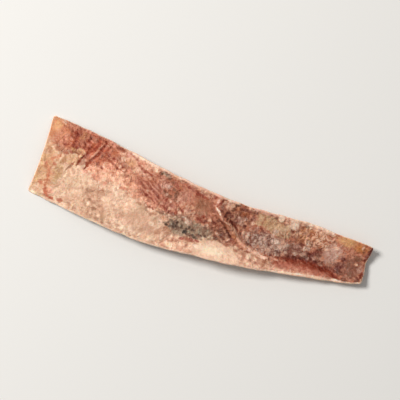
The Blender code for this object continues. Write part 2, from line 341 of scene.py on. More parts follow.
MARKS = {
    # The cream field and its margins
    "left_margin": patch(24, -35, 38, 100, 0, (212, 162, 120), 0.75, 0.7, 0.8),
    "pale_end": line([(4, -110), (6, -40), (9, 34)], 8, (212, 166, 122), 0.6, 0.7),
    "olive_wash": patch(62, -34, 18, 44, 6, (190, 146, 103), 0.75, 0.7, 0.8),
    "olive_low": patch(69, 9, 10, 13, 0, (192, 142, 98), 0.7, 0.7, 0.8),
    "smooth_left": patch(132, -56, 46, 44, 0, (230, 193, 163), 0.7, 0.5, 0.8, busy=0.35),
    "smooth_right": patch(244, -70, 36, 44, -10, (241, 202, 174), 0.6, 0.5, 0.8, busy=0.3),
    "tan_low": patch(196, -92, 44, 46, 8, (212, 166, 138), 0.7, 0.8, 0.8),
    "pale_middle": patch(246, -29, 16, 20, 0, (255, 223, 195), 0.85, busy=0.3),
    "tan_lens": patch(342, -96, 56, 39, -6, (222, 178, 150), 0.8, 0.5, 0.8, busy=0.25, cobbles=0),
    "tan_shade": patch(372, -108, 19, 18, 0, (206, 161, 137), 0.7, 0.7),
    "stroke_ground": patch(438, -110, 28, 21, -10, (212, 163, 136), 0.75, 0.9, streaks=0.2),
    "pale_right": patch(302, -52, 26, 28, 0, (247, 205, 177), 0.75, 0.7, busy=0.4),
    "pale_front": patch(85, -113, 76, 19, -4, (242, 206, 178), 0.65, 0.9),
    "tan_fold": patch(92, 16, 28, 22, 0, (218, 168, 124), 0.7, busy=0.4),
    "pale_low": patch(320, -137, 90, 11, -2, (250, 213, 186), 0.65, 0.9),
    "pale_triangle": patch(403, -70, 11, 22, -30, (243, 202, 178), 0.85, 0.6, 0.8),
    "cream_dabs": spots([(109, -24, 9, 14), (301, -57, 6, 5), (360, -52, 8, 5), (296, -128, 9, 7), (178, -98, 4, 8),
        (218, -120, 5, 6), (191, -116, 3.5, 8), (154, -119, 6), (220, -66, 9, 8), (288, -70, 8, 12),
        (415, -120, 4, 8), (320, -124, 5), (124, -76, 9, 7), (164, -34, 8, 9), (266, -116, 9, 7)], (248, 210, 181)),
    "cream_lines": lines([[(98, -10), (93, -25), (84, -44), (82, -52)], [(96, -45), (102, -60), (103, -80)],
        [(130, -100), (136, -124)], [(59, 5), (54, -6), (52, -15)], [(376, -88), (384, -98)], [(350, -136),
        (370, -132), (390, -134)], [(9, 40), (24, 29), (44, 18), (66, 22)]], 5, (243, 203, 168), 0.65, 0.9, 0.8),
    "tan_dabs": spots([(138, -42, 5, 7), (145, -57, 5), (190, -52, 8, 9), (205, -47, 7, 5), (224, -42, 13, 5),
        (167, -71, 6), (203, -68, 4, 8), (142, -123, 6, 5), (123, -116, 5, 8), (113, -112, 5, 7), (180, -119, 4),
        (179, -131, 5), (197, -128, 5, 6), (244, -28, 5), (286, -90, 9, 5), (345, -74, 5), (382, -81, 4, 7),
        (383, -104, 5), (401, -111, 9, 6), (331, -124, 6, 5), (310, -127, 6), (260, -86, 6), (256, -130, 6, 4),
        (72, -74, 6), (92, -92, 5), (12, 12, 9, 7), (10, -56, 6), (11, -108, 6, 5), (354, -118, 6), (108, -62, 5)],
        (193, 146, 118), 0.65, 0.9),
    "tan_lines": lines([[(163, -90), (172, -106), (186, -105)], [(176, -82), (192, -88), (224, -94)], [(220, -108),
        (230, -116), (232, -128), (239, -136)], [(210, -118), (214, -132)], [(322, -68), (333, -58), (344, -53),
        (355, -58), (365, -67)], [(392, -58), (386, -70), (383, -80)], [(424, -104), (422, -124), (418, -134)],
        [(449, -114), (442, -128)], [(435, -106), (432, -122)]], 6.5, (184, 138, 110), 0.65, 0.9, 0.8),
    "brown_dabs": spots([(170, -58, 9, 5.5), (200, -106, 6), (215, -131, 7, 5), (179, -83, 6, 4), (364, -65, 5, 4),
        (61, -31, 6), (77, -59, 4), (238, -134, 4)], (164, 118, 92), 0.65, 1),
    # The red-brown pigment, from the wide end to the tip
    "salmon_fade": band([(125, -8), (150, -16), (180, -24), (220, -24), (270, -34), (310, -50), (360, -56),
        (430, -54)], [(125, 90), (430, 90)], (246, 190, 160), 0.85, 1.8, 2.4, busy=0.7, dots=0.4, cobbles=0.3),
    "salmon_deep": band([(130, 0), (170, -6), (210, -2), (250, 4), (280, -26), (340, -48), (410, -52)], [(130, 90),
        (410, 90)], (230, 162, 131), 0.8, 1.8, 1.8, busy=0.8, dots=0.6, cobbles=0.4),
    "pigment": band([(12, 52), (24, 39), (42, 25), (62, 21), (80, 29), (98, 32), (108, 4), (126, 16), (135, -2),
        (154, 12), (176, 16), (190, 34), (220, 32), (255, 26), (285, 20), (300, 0), (325, -18), (360, -36),
        (410, -52), (470, -56), (550, -56), (570, -79), (620, -82), (660, -82), (1040, -120)], [(12, 200),
        (1040, 200)], (190, 121, 94), 0.97, 1.4, 1.6, busy=0.9, creased=0.4, dots=0.7, streaks=0.2, cobbles=0.3),
    "red_dense": patch(144, 66, 44, 46, -14, (187, 91, 58), 0.85, 0.9, creased=0.2, dots=0.5, streaks=0.3),
    "red_left": patch(76, 70, 29, 36, 0, (186, 97, 61), 0.8, 0.9, dots=0.6),
    "pink_left": patch(42, 74, 17, 36, -6, (219, 144, 107), 0.8, 0.9, busy=0.6),
    "tan_red": patch(204, 72, 19, 18, 0, (194, 113, 79), 0.75, busy=0.6),
    "purple_top": rim("back", 50, 110, 15, (158, 84, 62), 0.7),
    "olive_high": patch(98, 92, 11, 19, -24, (190, 127, 85), 0.85, 0.7, 0.8, busy=0.5),
    "light_patch": patch(284, 64, 64, 22, -14, (242, 190, 162), 0.9, 0.7, 0.8, busy=0.5, creased=0.1, dots=0.2),
    "tan_patch": patch(261, 59, 17, 14, -20, (214, 153, 112), 0.8, 0.7, busy=0.4),
    "pink_patch": patch(246, 80, 11, 9, 0, (232, 170, 152), 0.8, 0.7),
    "red_tail": patch(350, -4, 60, 32, -24, (188, 116, 93), 0.9, 0.9, busy=0.5, streaks=1, creased=0, cobbles=0),
    "red_tail_end": patch(406, -24, 26, 26, -10, (184, 118, 98), 0.85, 0.9, streaks=0.3, cobbles=0.5),
    "lilac_high": patch(380, 36, 24, 16, -30, (213, 159, 139), 0.85, 0.7, streaks=0.2),
    "mauve_left": patch(452, 14, 26, 26, -4, (190, 129, 107), 0.85, busy=0.5, creased=0.1),
    "mauve_middle": patch(506, 8, 33, 30, -4, (160, 107, 80), 0.92, busy=0.5, creased=0.1, dots=0.2, cobbles=0),
    "beige_wash": patch(458, -45, 42, 18, 0, (160, 118, 96), 0.85, 0.9),
    "mauve_low": patch(586, -52, 44, 28, -4, (155, 106, 83), 0.9, creased=0.4, cobbles=0.7),
    "purple_brown": patch(612, 9, 50, 38, 0, (158, 107, 82), 0.9, creased=0.4, cobbles=0.6),
    "pink_corner": patch(578, 42, 26, 15, 0, (224, 180, 156), 0.85, 0.9, cobbles=0.3),
    "flake_ground": patch(730, -34, 86, 35, 2, (172, 134, 116), 0.95, 0.6, 0.7, flakes=0.8, busy=0.5, creased=0.2,
        dots=0.2, cobbles=0.4),
    "thin_window": band([(669, 6), (700, 4), (730, -9), (790, -6)], [(669, 48), (720, 50), (784, 42)],
        (202, 163, 128), 0.92, 0.8, 0.8, busy=0.5, creased=0.3, dots=0, cobbles=0.3),
    "window_right": patch(772, 17, 29, 17, 0, (202, 170, 143), 0.75),
    "bead_ground": patch(830, 26, 56, 36, 0, (194, 135, 98), 0.92, 0.7, 0.8, creased=0.3, dots=0.3, cobbles=0.6),
    "worm_ground": patch(876, 29, 36, 32, -16, (176, 111, 79), 0.92, 0.6, 0.8, beads=1, busy=0.2, cobbles=0),
    "maroon_middle": patch(826, -26, 54, 26, 0, (162, 116, 97), 0.9, 0.7, 0.8, flakes=0.3, creased=0.3, cobbles=0.7),
    "amber_tip": patch(954, 50, 46, 20, -2, (216, 166, 116), 0.92, 0.7, busy=0.4, creased=0, cobbles=0.1),
    "orange_tip": patch(1000, 44, 28, 19, 0, (192, 121, 65), 0.9, 0.7, busy=0.4),
    "lilac": patch(924, 0, 35, 38, -24, (182, 146, 129), 0.95, 0.7, busy=0.5, creased=0.1, dots=0.1, cobbles=0.3),
    "lilac_light": patch(924, 14, 25, 17, -10, (222, 182, 164), 0.75),
    "maroon_tip": patch(989, -24, 44, 52, 0, (137, 86, 67), 0.92, 0.7, busy=0.5, creased=0.1, cobbles=0.3),
    "crease_shade": patch(862, -46, 74, 15, 0, (108, 44, 28), 0.88, flakes=0),
    # Smaller fields, then flecks and lines, the dark ones first
    "purple_high": patch(86, 94, 29, 15, -10, (146, 74, 52), 0.55),
    "red_fold": patch(166, 35, 16, 14, 0, (234, 146, 108), 0.75),
    "margin_shade": patch(24, -16, 19, 22, 0, (192, 140, 100), 0.65),
    "pink_fleck": patch(306, 44, 32, 12, -14, (234, 182, 156), 0.6),
    "pink_high": patch(374, 75, 32, 9, -8, (244, 204, 184)),
    "tail_mauve": patch(366, 16, 26, 18, -24, (192, 138, 118), 0.45),
    "pink_upper": patch(510, 45, 34, 10, -3, (214, 164, 142), 0.7),
    "mauve_grey": patch(506, -15, 28, 11, 0, (170, 128, 106), 0.5),
    "tan_smear": patch(652, -82, 33, 10, -14, (178, 124, 98), 0.75),
    "edge_tan": patch(774, 44, 20, 11, 0, (226, 186, 158)),
    "worm_shade": patch(856, 8, 26, 14, 0, (134, 86, 66), 0.75, beads=0.5),
    "lilac_low": patch(920, -30, 26, 14, -16, (146, 102, 86), 0.65),
    "purple_tip": patch(953, -30, 20, 21, 0, (112, 58, 44), 0.78),
    "maroon_upper": patch(643, 40, 26, 13, 0, (132, 80, 58), 0.65),
    "mauve_strip": patch(442, 10, 20, 20, 0, (192, 138, 116), 0.5),
    "mauve_right": patch(796, -16, 26, 18, 0, (186, 146, 128), 0.5),
    "low_ink_shade": patch(446, -86, 30, 14, 0, (132, 102, 84), 0.6),
    "cream_low": patch(302, -126, 42, 20, -2, (250, 216, 190), 0.5),
    "window_tan": patch(704, 22, 19, 15, 0, (196, 150, 108), 0.65),
    "red_dark": spots([(57, 49, 5), (66, 27, 6, 5), (80, 33, 8, 4), (78, 54, 5, 9), (92, 50, 7, 4.5),
        (82, 80, 5, 20), (75, 93, 7, 5), (106, 74, 14, 5), (113, 57, 5, 6), (122, 85, 5, 7), (124, 42, 6),
        (126, 64, 6, 9), (144, 89, 8, 4), (127, 100, 8, 4), (192, 61, 5), (170, 51, 4), (222, 89, 9, 4),
        (210, 54, 5, 3.5), (168, 24, 6, 7), (182, 18, 6, 4), (242, 43, 3, 6), (310, 50, 7, 4), (330, 47, 6, 4),
        (452, 47, 6, 4), (482, 38, 9, 4), (502, 35, 7, 4), (534, 46, 6), (337, -14, 7), (370, -13, 6, 5),
        (400, -8, 4, 6), (403, -39, 5, 6), (420, -41, 9, 5), (436, -36, 5, 8), (395, -30, 4), (384, -23, 5, 4),
        (453, -24, 5, 4), (493, -22, 4), (479, -14, 4), (520, -19, 6, 4)], (148, 57, 33)),
    "maroon_dark": spots([(564, 14, 7, 4.5), (600, 8, 7, 5), (588, 15, 10, 4), (580, 5, 6), (606, -9, 11, 5),
        (628, 38, 9, 5), (646, 39, 5), (660, 22, 5, 8), (665, 42, 6), (668, -50, 5, 7), (572, -68, 5, 7),
        (588, -57, 5, 6), (625, -58, 6, 7), (643, -9, 5, 6), (638, -34, 5), (727, -37, 8, 4), (727, -22, 6, 4),
        (763, -49, 9, 3.5), (782, -36, 4, 6), (800, -38, 10, 6), (684, -20, 4, 6), (684, -56, 7, 3.5),
        (728, -65, 4, 5), (701, -20, 4), (744, -66, 7, 4), (708, 49, 10, 2.5), (726, 45, 4), (760, 39, 5, 4),
        (785, 24, 6, 7), (824, -4, 13, 4.5), (818, -24, 8, 4.5), (844, -22, 6, 4), (857, -22, 7, 4),
        (825, -42, 8, 6), (794, -50, 8, 4), (876, -42, 8, 6), (889, -8, 4, 5), (958, -6, 9, 7), (953, -32, 9, 6),
        (940, -46, 14, 6), (910, -48, 10, 6), (1016, -45, 7, 5), (534, -54, 5, 8), (554, -25, 8, 5),
        (530, -29, 5, 4)], (122, 56, 42)),
    "purple_dark": spots([(726, -37, 7, 4.5), (743, -66, 6.5, 5), (669, -50, 5, 6.5), (724, -21, 5, 3.5),
        (686, -21, 3.5, 5), (762, -49, 8, 3), (781, -37, 4, 5), (643, -8, 4), (556, -46, 4, 6), (574, -42, 4, 5),
        (587, -56, 4.5, 5), (574, -69, 5, 3.5), (614, -50, 4, 6), (588, 14, 7, 3), (606, -8, 9, 3.5),
        (883, -35, 11, 7), (948, -37, 12, 8), (957, -6, 7, 5), (840, -43, 14, 5), (702, -60, 4, 5)], (94, 38, 30),
        0.7),
    "brown_dark": spots([(388, 12, 6.5, 5), (410, 27, 7, 5), (420, 16, 5.5, 11), (405, 4, 8, 5.5), (424, -2, 5),
        (402, 47, 10, 4.5), (391, -52, 12, 4.2), (603, 45, 6, 6), (599, 28, 4.5, 8), (538, 6, 5, 7),
        (980, -17, 6, 8), (1002, 12, 12, 8), (990, -40, 6, 10), (1010, 35, 4), (733, 4, 5, 4), (824, 52, 7, 4),
        (494, -50, 4, 7), (360, 60, 6, 6), (386, 54, 5, 8), (851, 10, 4, 6)], (124, 80, 58), 0.75),
    "orange_dabs": spots([(628, 21, 8, 10), (639, 30, 6, 4), (610, 34, 6), (844, 36, 7, 10), (808, 48, 8, 6),
        (903, 47, 6, 5), (899, 20, 6, 3.5), (882, 10, 5, 4), (420, 37, 10, 5)], (168, 98, 58), 0.7),
    "red_lines": lines([[(180, 51), (194, 46), (208, 42), (220, 38), (230, 31), (254, 25)], [(125, 98), (140, 103),
        (160, 98), (173, 90)], [(280, 66), (300, 55), (330, 47)], [(432, 53), (460, 46), (484, 39), (514, 32)],
        [(248, 88), (266, 78), (290, 68)], [(396, 52), (414, 42), (431, 26)], [(342, -38), (354, -43), (368, -48)]],
        6.5, (164, 82, 58), soft=0.8),
    "streak_lines": lines([[(344, 33), (360, 24), (376, 12)], [(348, 3), (362, -5), (377, -16)], [(334, -11),
        (346, -19), (368, -31)], [(326, 18), (342, 9), (356, 0)], [(294, 26), (312, 14), (328, 2)], [(306, -6),
        (324, -16)]], 5, (148, 72, 52), 0.7, 0.8, 0.9),
    "pinch_lines": lines([[(536, -12), (550, -14), (560, -20)], [(562, -34), (557, -48), (552, -60)], [(547, 1),
        (556, -8)], [(692, 14), (693, 26), (696, 37)], [(672, -32), (670, -42)], [(754, 8), (766, 1)], [(730, 41),
        (746, 38), (754, 40)], [(890, 33), (902, 28), (912, 31), (917, 38)], [(802, 38), (798, 24), (810, 18)],
        [(836, 30), (832, 16)]], 5, (160, 96, 72), 0.7, 0.6, 0.8),
    "zigzag": line([(692, 1), (702, -4), (710, -8), (719, -11), (723, -19)], 5.5, (128, 70, 56), 0.85),
    "red_blot": line([(502, -28), (515, -33), (528, -37)], 7.5, (142, 60, 40), 0.88),
    "maroon_slant": line([(886, 4), (875, -10), (867, -22), (856, -33), (846, -42)], 9.5, (114, 38, 20), 0.88, 0.7),
    "pink_dabs": spots([(50, 68, 4.5, 13), (42, 54, 6, 5), (67, 70, 5, 4), (133, 86, 8, 6), (119, 73, 5),
        (108, 110, 9, 5), (191, 72, 4, 10), (194, 93, 6, 8), (211, 83, 7, 5), (175, 78, 4), (182, 100, 8, 4),
        (215, 47, 5), (206, 27, 10, 7), (266, 34, 7, 9), (182, -16, 9), (168, -12, 7), (266, -20, 14, 4.5),
        (208, -21, 5, 6), (140, -8, 9, 5), (428, -138, 8, 5), (485, -134, 6, 5), (506, -132, 11, 5),
        (58, -98, 9, 8), (356, -38, 12, 4), (383, -4, 7, 4), (298, 69, 14, 5)], (226, 152, 126), 0.75),
    "cream_flecks": spots([(234, 64, 6), (234, 38, 4, 5), (248, 32, 4.5), (240, 92, 10, 4), (279, 43, 5),
        (284, 42, 9, 8), (312, 70, 8, 5), (188, 26, 4, 8), (226, 2, 5), (196, 5, 10, 3), (240, 22, 8, 3),
        (296, -14, 8, 5), (334, -2, 5, 4), (413, 64, 11, 4), (462, -21, 4.5, 4), (448, -32, 4.5, 4), (486, -16, 4),
        (540, -23, 5), (536, -42, 5, 6), (592, 40, 4.5, 5.5), (583, 32, 10, 6), (642, 48, 4, 6), (649, -28, 5, 6),
        (664, -36, 4, 9), (668, 8, 5), (675, -68, 8, 5), (794, 13, 5), (807, 30, 5, 5), (760, 48, 4.5, 7),
        (868, 47, 4.5, 7), (882, 35, 6, 4), (867, 26, 5, 4), (998, -7, 5, 4), (902, 5, 6, 4), (928, 20, 10, 4),
        (571, -54, 4), (612, -62, 5), (414, -32, 4), (410, -10, 5), (1004, 48, 4, 7), (549, 53, 7, 3.5),
        (482, 57, 10, 3.5)], (238, 192, 164), lift=0.04),
    "mauve_dabs": spots([(625, 4, 13, 11), (640, 13, 6), (565, 25, 7, 6), (392, 30, 8, 7), (916, -10, 17, 14),
        (910, -30, 6), (1014, -18, 8, 10), (820, -15, 7, 5), (874, -30, 5, 6), (856, -38, 3.5, 6), (684, -7, 6, 8),
        (940, 14, 9, 6)], (192, 148, 132), 0.75),
    "flake_dabs": spots([(742, -24, 9, 8), (757, -21, 6), (765, -30, 11, 7), (756, -40, 7, 3.5), (786, -21, 5),
        (736, -57, 5.5), (715, -53, 12, 6), (690, -50, 9, 3.5), (762, -58, 8, 3.5), (846, -10, 11, 5),
        (835, -31, 7, 5), (815, -37, 5, 4), (770, -32, 8, 6), (713, -17, 5, 6), (740, 8, 8, 6), (842, 7, 4, 9),
        (786, -44, 5, 4)], (206, 174, 156), lift=0.05),
    "flake_lines": lines([[(695, -52), (702, -38), (712, -16)], [(715, -18), (721, -32), (726, -48)], [(685, -48),
        (694, -26)], [(708, -48), (709, -30)], [(738, -50), (742, -36)], [(678, -38), (680, -24)]], 5,
        (204, 172, 156), soft=0.8, lift=0.05),
    "worm_lines": lines([[(886, 52), (889, 42), (898, 35), (909, 36), (914, 46)], [(872, 13), (876, 20), (886, 20),
        (889, 10)], [(850, 20), (852, 30), (864, 34)], [(862, 4), (860, 14), (866, 19)], [(838, 0), (832, 12),
        (834, 22)], [(892, 26), (904, 23)], [(874, 52), (878, 42), (874, 34)], [(818, 26), (826, 34), (824, 44)]],
        5, (229, 176, 148), 0.85, 0.4, 0.8, lift=0.06),
    "bead_lines": lines([[(454, 2), (447, -13)], [(464, -2), (456, -18)], [(474, -8), (470, -24)], [(434, 8),
        (430, -8)], [(440, -18), (442, -26)], [(474, -30), (480, -24)], [(430, 28), (433, 12)]], 4, (214, 168, 142),
        0.75, 0.6, 0.8),
    # The grey-black ink stain
    "small_ink": patch(374, 62, 15, 8, -10, (172, 148, 128), 0.85, 0.8, 0.8),
    "ink_wash": patch(482, -69, 78, 28, 2, (150, 122, 101), 0.92, 0.7, 0.6, busy=0.7, creased=0.3, dots=0,
        cobbles=0.6),
    "ink_left": patch(436, -69, 25, 19, 0, (108, 84, 68), 0.75, 0.8, 0.8),
    "ink_smear": patch(444, -102, 24, 10, 0, (176, 134, 112), 0.65, 0.9),
    "ink_light": spots([(431, -69, 6), (486, -59, 3.5, 4), (462, -59, 9, 5), (493, -76, 4, 5), (507, -78, 4),
        (512, -50, 12, 8), (520, -67, 10, 6), (548, -66, 8, 7), (452, -92, 10, 5), (476, -93, 6, 3)],
        (177, 154, 131), 0.75),
    "ink_dark": spots([(420, -80, 8, 4), (431, -82, 6, 4), (444, -76, 9, 5), (451, -64, 3.5, 7), (466, -72, 5, 7),
        (482, -76, 4, 6), (491, -66, 4, 4), (503, -68, 7, 4), (502, -83, 7, 4), (512, -88, 7, 3.5),
        (528, -78, 7, 3.5), (541, -76, 6, 3), (438, -70, 4), (360, 60, 4)], (82, 60, 46), 0.85, 0.8),
    "ink_core": patch(478, -84, 11, 7, 10, (34, 23, 16), 0.92, 0.5, 0.8),
    # The folded lip along the front edge
    "pink_lip": band([(645, -300), (1040, -300)], [(645, -93), (670, -90), (700, -87), (730, -87), (770, -78),
        (840, -62), (900, -58), (970, -70), (1040, -72)], (226, 175, 150), 0.95, 0.8, 1.2, busy=0.7, creased=0.15,
        dots=0.3, cobbles=0.3, flakes=0),
    "salmon_lip": band([(760, -100), (830, -90), (900, -84), (985, -72)], [(760, -70), (800, -58), (860, -49),
        (920, -49), (985, -62)], (186, 110, 88), 0.92, busy=0.6, creased=0.05, dots=0.1, streaks=0.3, cobbles=0),
    "salmon_lip_deep": band([(770, -78), (840, -74), (900, -70), (970, -74)], [(770, -60), (800, -52), (860, -42),
        (920, -42), (970, -60)], (136, 56, 34)),
    "lip_tan": patch(720, -89, 26, 7, -6, (190, 130, 106), 0.6),
    "lip_red": patch(790, -81, 28, 9, 14, (178, 106, 86), 0.6),
    "cream_lip": band([(500, -300), (666, -300)], [(500, -122), (520, -106), (546, -85), (580, -74), (620, -78),
        (640, -92), (666, -104)], (238, 199, 172), 0.95, 0.9, 0.9, busy=0.3, creased=0.05, dots=0, cobbles=0),
    "cream_core": patch(570, -110, 50, 14, 4, (255, 232, 203), 0.85, 0.6, 0.8, busy=0.15),
    "salmon_mottle": patch(466, -126, 46, 22, 8, (234, 182, 156), 0.8, 1, 0.8, busy=0.8, dots=0.3),
    "mottle_light": spots([(448, -132, 14, 7), (445, -112, 4, 9), (484, -119, 10, 6), (682, -92, 6, 7),
        (704, -92, 7, 5), (706, -110, 6, 5), (722, -109, 5, 6), (686, -110, 6), (746, -102, 7, 5), (774, -96, 9, 4),
        (794, -102, 14, 4), (639, -77, 5)], (252, 214, 184)),
    "mottle_dark": spots([(466, -114, 5, 3.5), (498, -119, 5, 6), (668, -98, 4.5, 9), (693, -99, 4, 6),
        (716, -100, 9, 3.5), (734, -98, 5, 9), (758, -96, 4, 5), (640, -85, 7, 4), (613, -82, 3.5, 6),
        (787, -89, 6, 4), (696, -82, 8, 3.5), (714, -85, 9, 3), (454, -116, 3.5, 7)], (190, 130, 106), 0.75),
    "lip_brown": spots([(676, -78, 7, 4), (768, -79, 9, 5), (760, -86, 5, 4)], (152, 78, 54)),
    "under_ink": spots([(478, -104, 8, 3.5), (504, -100, 14, 5), (522, -96, 9, 3.5)], (168, 72, 58)),
    # The rims along the edges, most of them pale with painted highlight where an edge catches the light, and two pale
    # corners
    # Pale back edge: partly the skin's own colour, partly painted highlight where the raised edge catches the light
    "back_rim_highlight": rim("back", 240, 620, 9.5, (250, 212, 190), 0.92, 0.3, 0.7, lift=0.08, busy=0.15, creased=0,
        cobbles=0),
    "back_rim_middle": rim("back", 450, 580, 15, (226, 172, 150), 0.75, 0.6, 0.9),
    # Pale back edge: partly the skin's own colour, partly painted highlight where the raised edge catches the light
    "back_rim_wide_highlight": rim("back", 245, 360, 14, (255, 222, 198), 0.85, 0.5, busy=0.3, creased=0, cobbles=0),
    "back_rim_pink": rim("back", 35, 240, 7, (222, 160, 140), 0.7, 0.5),
    # Pale back edge: partly the skin's own colour, partly painted highlight where the raised edge catches the light
    "back_rim_right_highlight": rim("back", 640, 780, 12, (240, 192, 170), 0.88, lift=0.06, busy=0.2, creased=0),
    # Puckered back edge: its pale colour is partly painted highlight where the raised edge catches the light
    "puckered_edge_highlight": rim("back", 760, 915, 16, (255, 226, 200), 0.94, 0.6, 0.7, lift=0.06, busy=0.2, creased=0.1,
        beads=0.2),
    "cream_blobs": spots([(789, 46, 12, 14), (742, 51, 8, 8), (854, 56, 8, 7), (897, 59, 9, 5), (828, 60, 12, 4)],
        (255, 228, 204), 0.94, 0.4, 0.8, lift=0.12, beads=0.1, flakes=0.1, busy=0.2),
    # Painted highlight: a pale line along the whole front edge, where the cut edge catches the light
    "front_rim_highlight": rim("front", -20, 1060, 7, (248, 218, 190), 0.85, 0.5, busy=0.15, creased=0, dots=0, cobbles=0),
    # Painted highlight: the front edge over the lip and its near-white blobs, where the edge catches the light
    "lip_rim_highlight": rim("front", 760, 976, 12, (255, 224, 196), 0.95, 0.5, busy=0.1, creased=0, dots=0, lift=0.05),
    "rim_highlight_blobs": spots([(847, -93, 12, 5), (959, -73, 11, 5)], (255, 246, 226), 0.9, 0.4, 0.8, lift=0.08),
    "tip_rim": rim("front", 976, 1060, 6, (212, 178, 156), 0.85, 0.4, 0.7),
    "corner_cream": patch(3, -116, 11, 8, 0, (255, 230, 202), 0.85, 0.5, 0.8),
    "corner_beige": patch(30, -119, 19, 7, -8, (218, 188, 150), 0.7, 0.5, 0.8),
    # Single dabs that lie over the fields and rims
    "late_cream": spots([(72, -121, 12, 6), (176, -131, 8, 6), (565, -89, 12, 6), (11, -101, 8), (264, -77, 9, 8),
        (107, -86, 8), (76, -59, 7, 8), (181, -28, 8, 6), (676, -107, 7, 6), (331, 73, 12, 5), (258, -66, 12, 9),
        (159, -130, 13, 5), (338, 65, 10, 6), (74, -121, 13, 6), (262, -32, 9, 6)], (246, 208, 180), 0.78, flakes=0,
        beads=0, still=True),
    "late_pink": spots([(415, -64, 8), (477, -8, 8, 6), (398, 62, 9, 5), (352, 68, 8, 5), (507, 50, 9, 6),
        (481, 53, 9, 4), (848, 55, 7, 5), (875, 56, 6, 5), (810, 55, 8, 5), (249, 46, 7), (426, 59, 8, 4),
        (768, -29, 9, 7), (699, -53, 8, 5), (382, -23, 6, 5), (480, -28, 16, 9), (804, 55, 15, 5), (771, -17, 9, 9),
        (398, 63, 12, 5), (856, 56, 12, 4), (496, 52, 14, 4), (409, -64, 8), (732, -53, 7, 5)], (216, 166, 140),
        0.75, flakes=0, beads=0, still=True),
    "late_mauve": spots([(479, -38, 9, 6), (800, 25, 7, 6), (391, 8, 5), (733, -5, 7, 5), (835, -14, 9, 6),
        (479, -47, 11, 6), (886, -26, 11, 6), (800, 14, 9, 7), (387, 6, 7, 6), (896, -45, 9, 4), (769, -32, 9, 6),
        (634, -1, 8, 6), (681, -13, 7, 6), (524, -82, 7, 4), (891, 54, 6, 4), (897, -41, 8, 4)], (184, 140, 118),
        0.65, flakes=0, beads=0, still=True),
    "late_tan": spots([(42, 28, 10, 8), (510, -133, 9, 6), (378, -59, 8, 4), (40, -32, 6, 9), (52, -46, 6),
        (50, -1, 6), (40, -116, 7, 5), (732, -100, 8, 5), (744, -88, 8, 5), (108, -20, 7), (246, 17, 7, 6),
        (154, -40, 6), (421, -89, 8, 5), (52, 26, 13, 9), (429, -94, 13, 8), (735, -88, 12, 7), (210, -52, 11, 9),
        (285, -129, 9, 5), (377, -59, 8, 5), (39, 31, 9, 8), (63, 25, 7, 8), (627, -46, 9, 6), (503, -134, 10, 5),
        (728, -73, 7, 5), (609, -79, 7, 5)], (184, 128, 98), 0.66, still=True),
    "late_red": spots([(124, 17, 6, 9), (133, 89, 7, 6), (225, 86, 8, 5), (102, 73, 9, 6), (426, -44, 9, 5),
        (495, -100, 10, 5), (610, -76, 11, 6), (624, -35, 7, 6), (930, -73, 10, 4), (822, 29, 6), (348, -29, 8, 5),
        (531, 22, 7), (546, 2, 5, 6), (264, 20, 8, 5), (629, -66, 15, 8), (492, -98, 13, 5), (541, 5, 10, 7),
        (128, 93, 12, 6), (219, 88, 12, 5), (15, 68, 8, 10), (118, 12, 10, 9), (624, -37, 7, 5), (832, -64, 10, 5),
        (498, -102, 11, 4), (426, -45, 9, 6), (396, -46, 7, 4)], (150, 84, 62), 0.72, flakes=0, beads=0, still=True),
    "late_maroon": spots([(976, -62, 10, 5), (963, -47, 10, 8), (879, -17, 5, 7), (546, -35, 6), (850, -34, 6),
        (788, -65, 9, 4), (1016, -54, 8), (879, -2, 8, 6), (956, -46, 8, 7), (849, -34, 7, 5)], (106, 54, 38), 0.72,
        flakes=0, beads=0, still=True),
    "pale_dabs": spots([(769, -32, 9, 7), (733, -6, 7, 6), (835, -14, 7, 6), (480, -50, 10, 7), (466, -45, 7, 5),
        (631, -1, 7, 6), (714, -25, 6, 7), (393, 7, 4), (898, -44, 6, 3)], (226, 190, 170), flakes=0, still=True),
    "peach_dabs": spots([(808, 55, 11, 6), (849, 55, 9, 6), (507, 50, 9, 5), (398, 62, 9, 5), (477, -6, 8, 6),
        (480, 53, 8, 4), (798, 19, 6, 7), (408, -64, 9, 6), (147, 31, 4, 8), (278, 44, 9, 6), (890, 55, 8, 4)],
        (240, 190, 158), beads=0, flakes=0, still=True),
    "white_dabs": spots([(72, -121, 11, 5), (565, -92, 11, 6), (379, -91, 8, 6), (29, 112, 8, 5), (100, -98, 8, 6),
        (525, -110, 10, 5)], (255, 222, 196), still=True),
    "russet_dabs": spots([(65, 26, 8, 7), (39, 31, 9, 7), (102, 71, 8, 7), (728, -73, 8, 4), (496, -104, 10, 4),
        (369, -62, 8, 3), (33, 77, 7, 7), (36, -32, 4, 7), (552, 17, 3, 4)], (164, 92, 64), 0.6, still=True),
    "deep_dabs": spots([(955, -46, 8, 6), (849, -34, 6, 5), (886, -20, 8, 6), (565, -19, 6, 4), (534, -50, 5, 6),
        (426, -44, 8, 4), (493, -86, 10, 4)], (96, 52, 40), 0.65, flakes=0, still=True),
    # Folds and grooves with painted highlights on their lit sides and painted shade in their creases and grooves, the
    # amber corner, and the dark end of the tip, partly painted shade
    # Painted shade: a dark red line down the lip's crease, over the skin's own red
    "crease_shade_line": line([(764, -66), (790, -59), (820, -55), (860, -50), (900, -49), (924, -53), (946, -62),
        (964, -67)], 11.5, (132, 47, 21), 0.9, 0.5, 1, still=True, lift=-0.12),
    "pink_ridge": line([(636, -51), (650, -60), (666, -67), (684, -71), (706, -75), (726, -79), (740, -76)], 7.5,
        (226, 168, 143), 0.88, 0.4, 0.8, still=True, lift=0.1, flakes=0, busy=0.2, dots=0, cobbles=0),
    "ridge_end": line([(730, -75), (752, -70), (774, -72)], 5, (220, 158, 134), 0.8, 0.5, 0.8, still=True, lift=0.08),
    # Painted highlight: pale blobs on the crest of the pink ridge
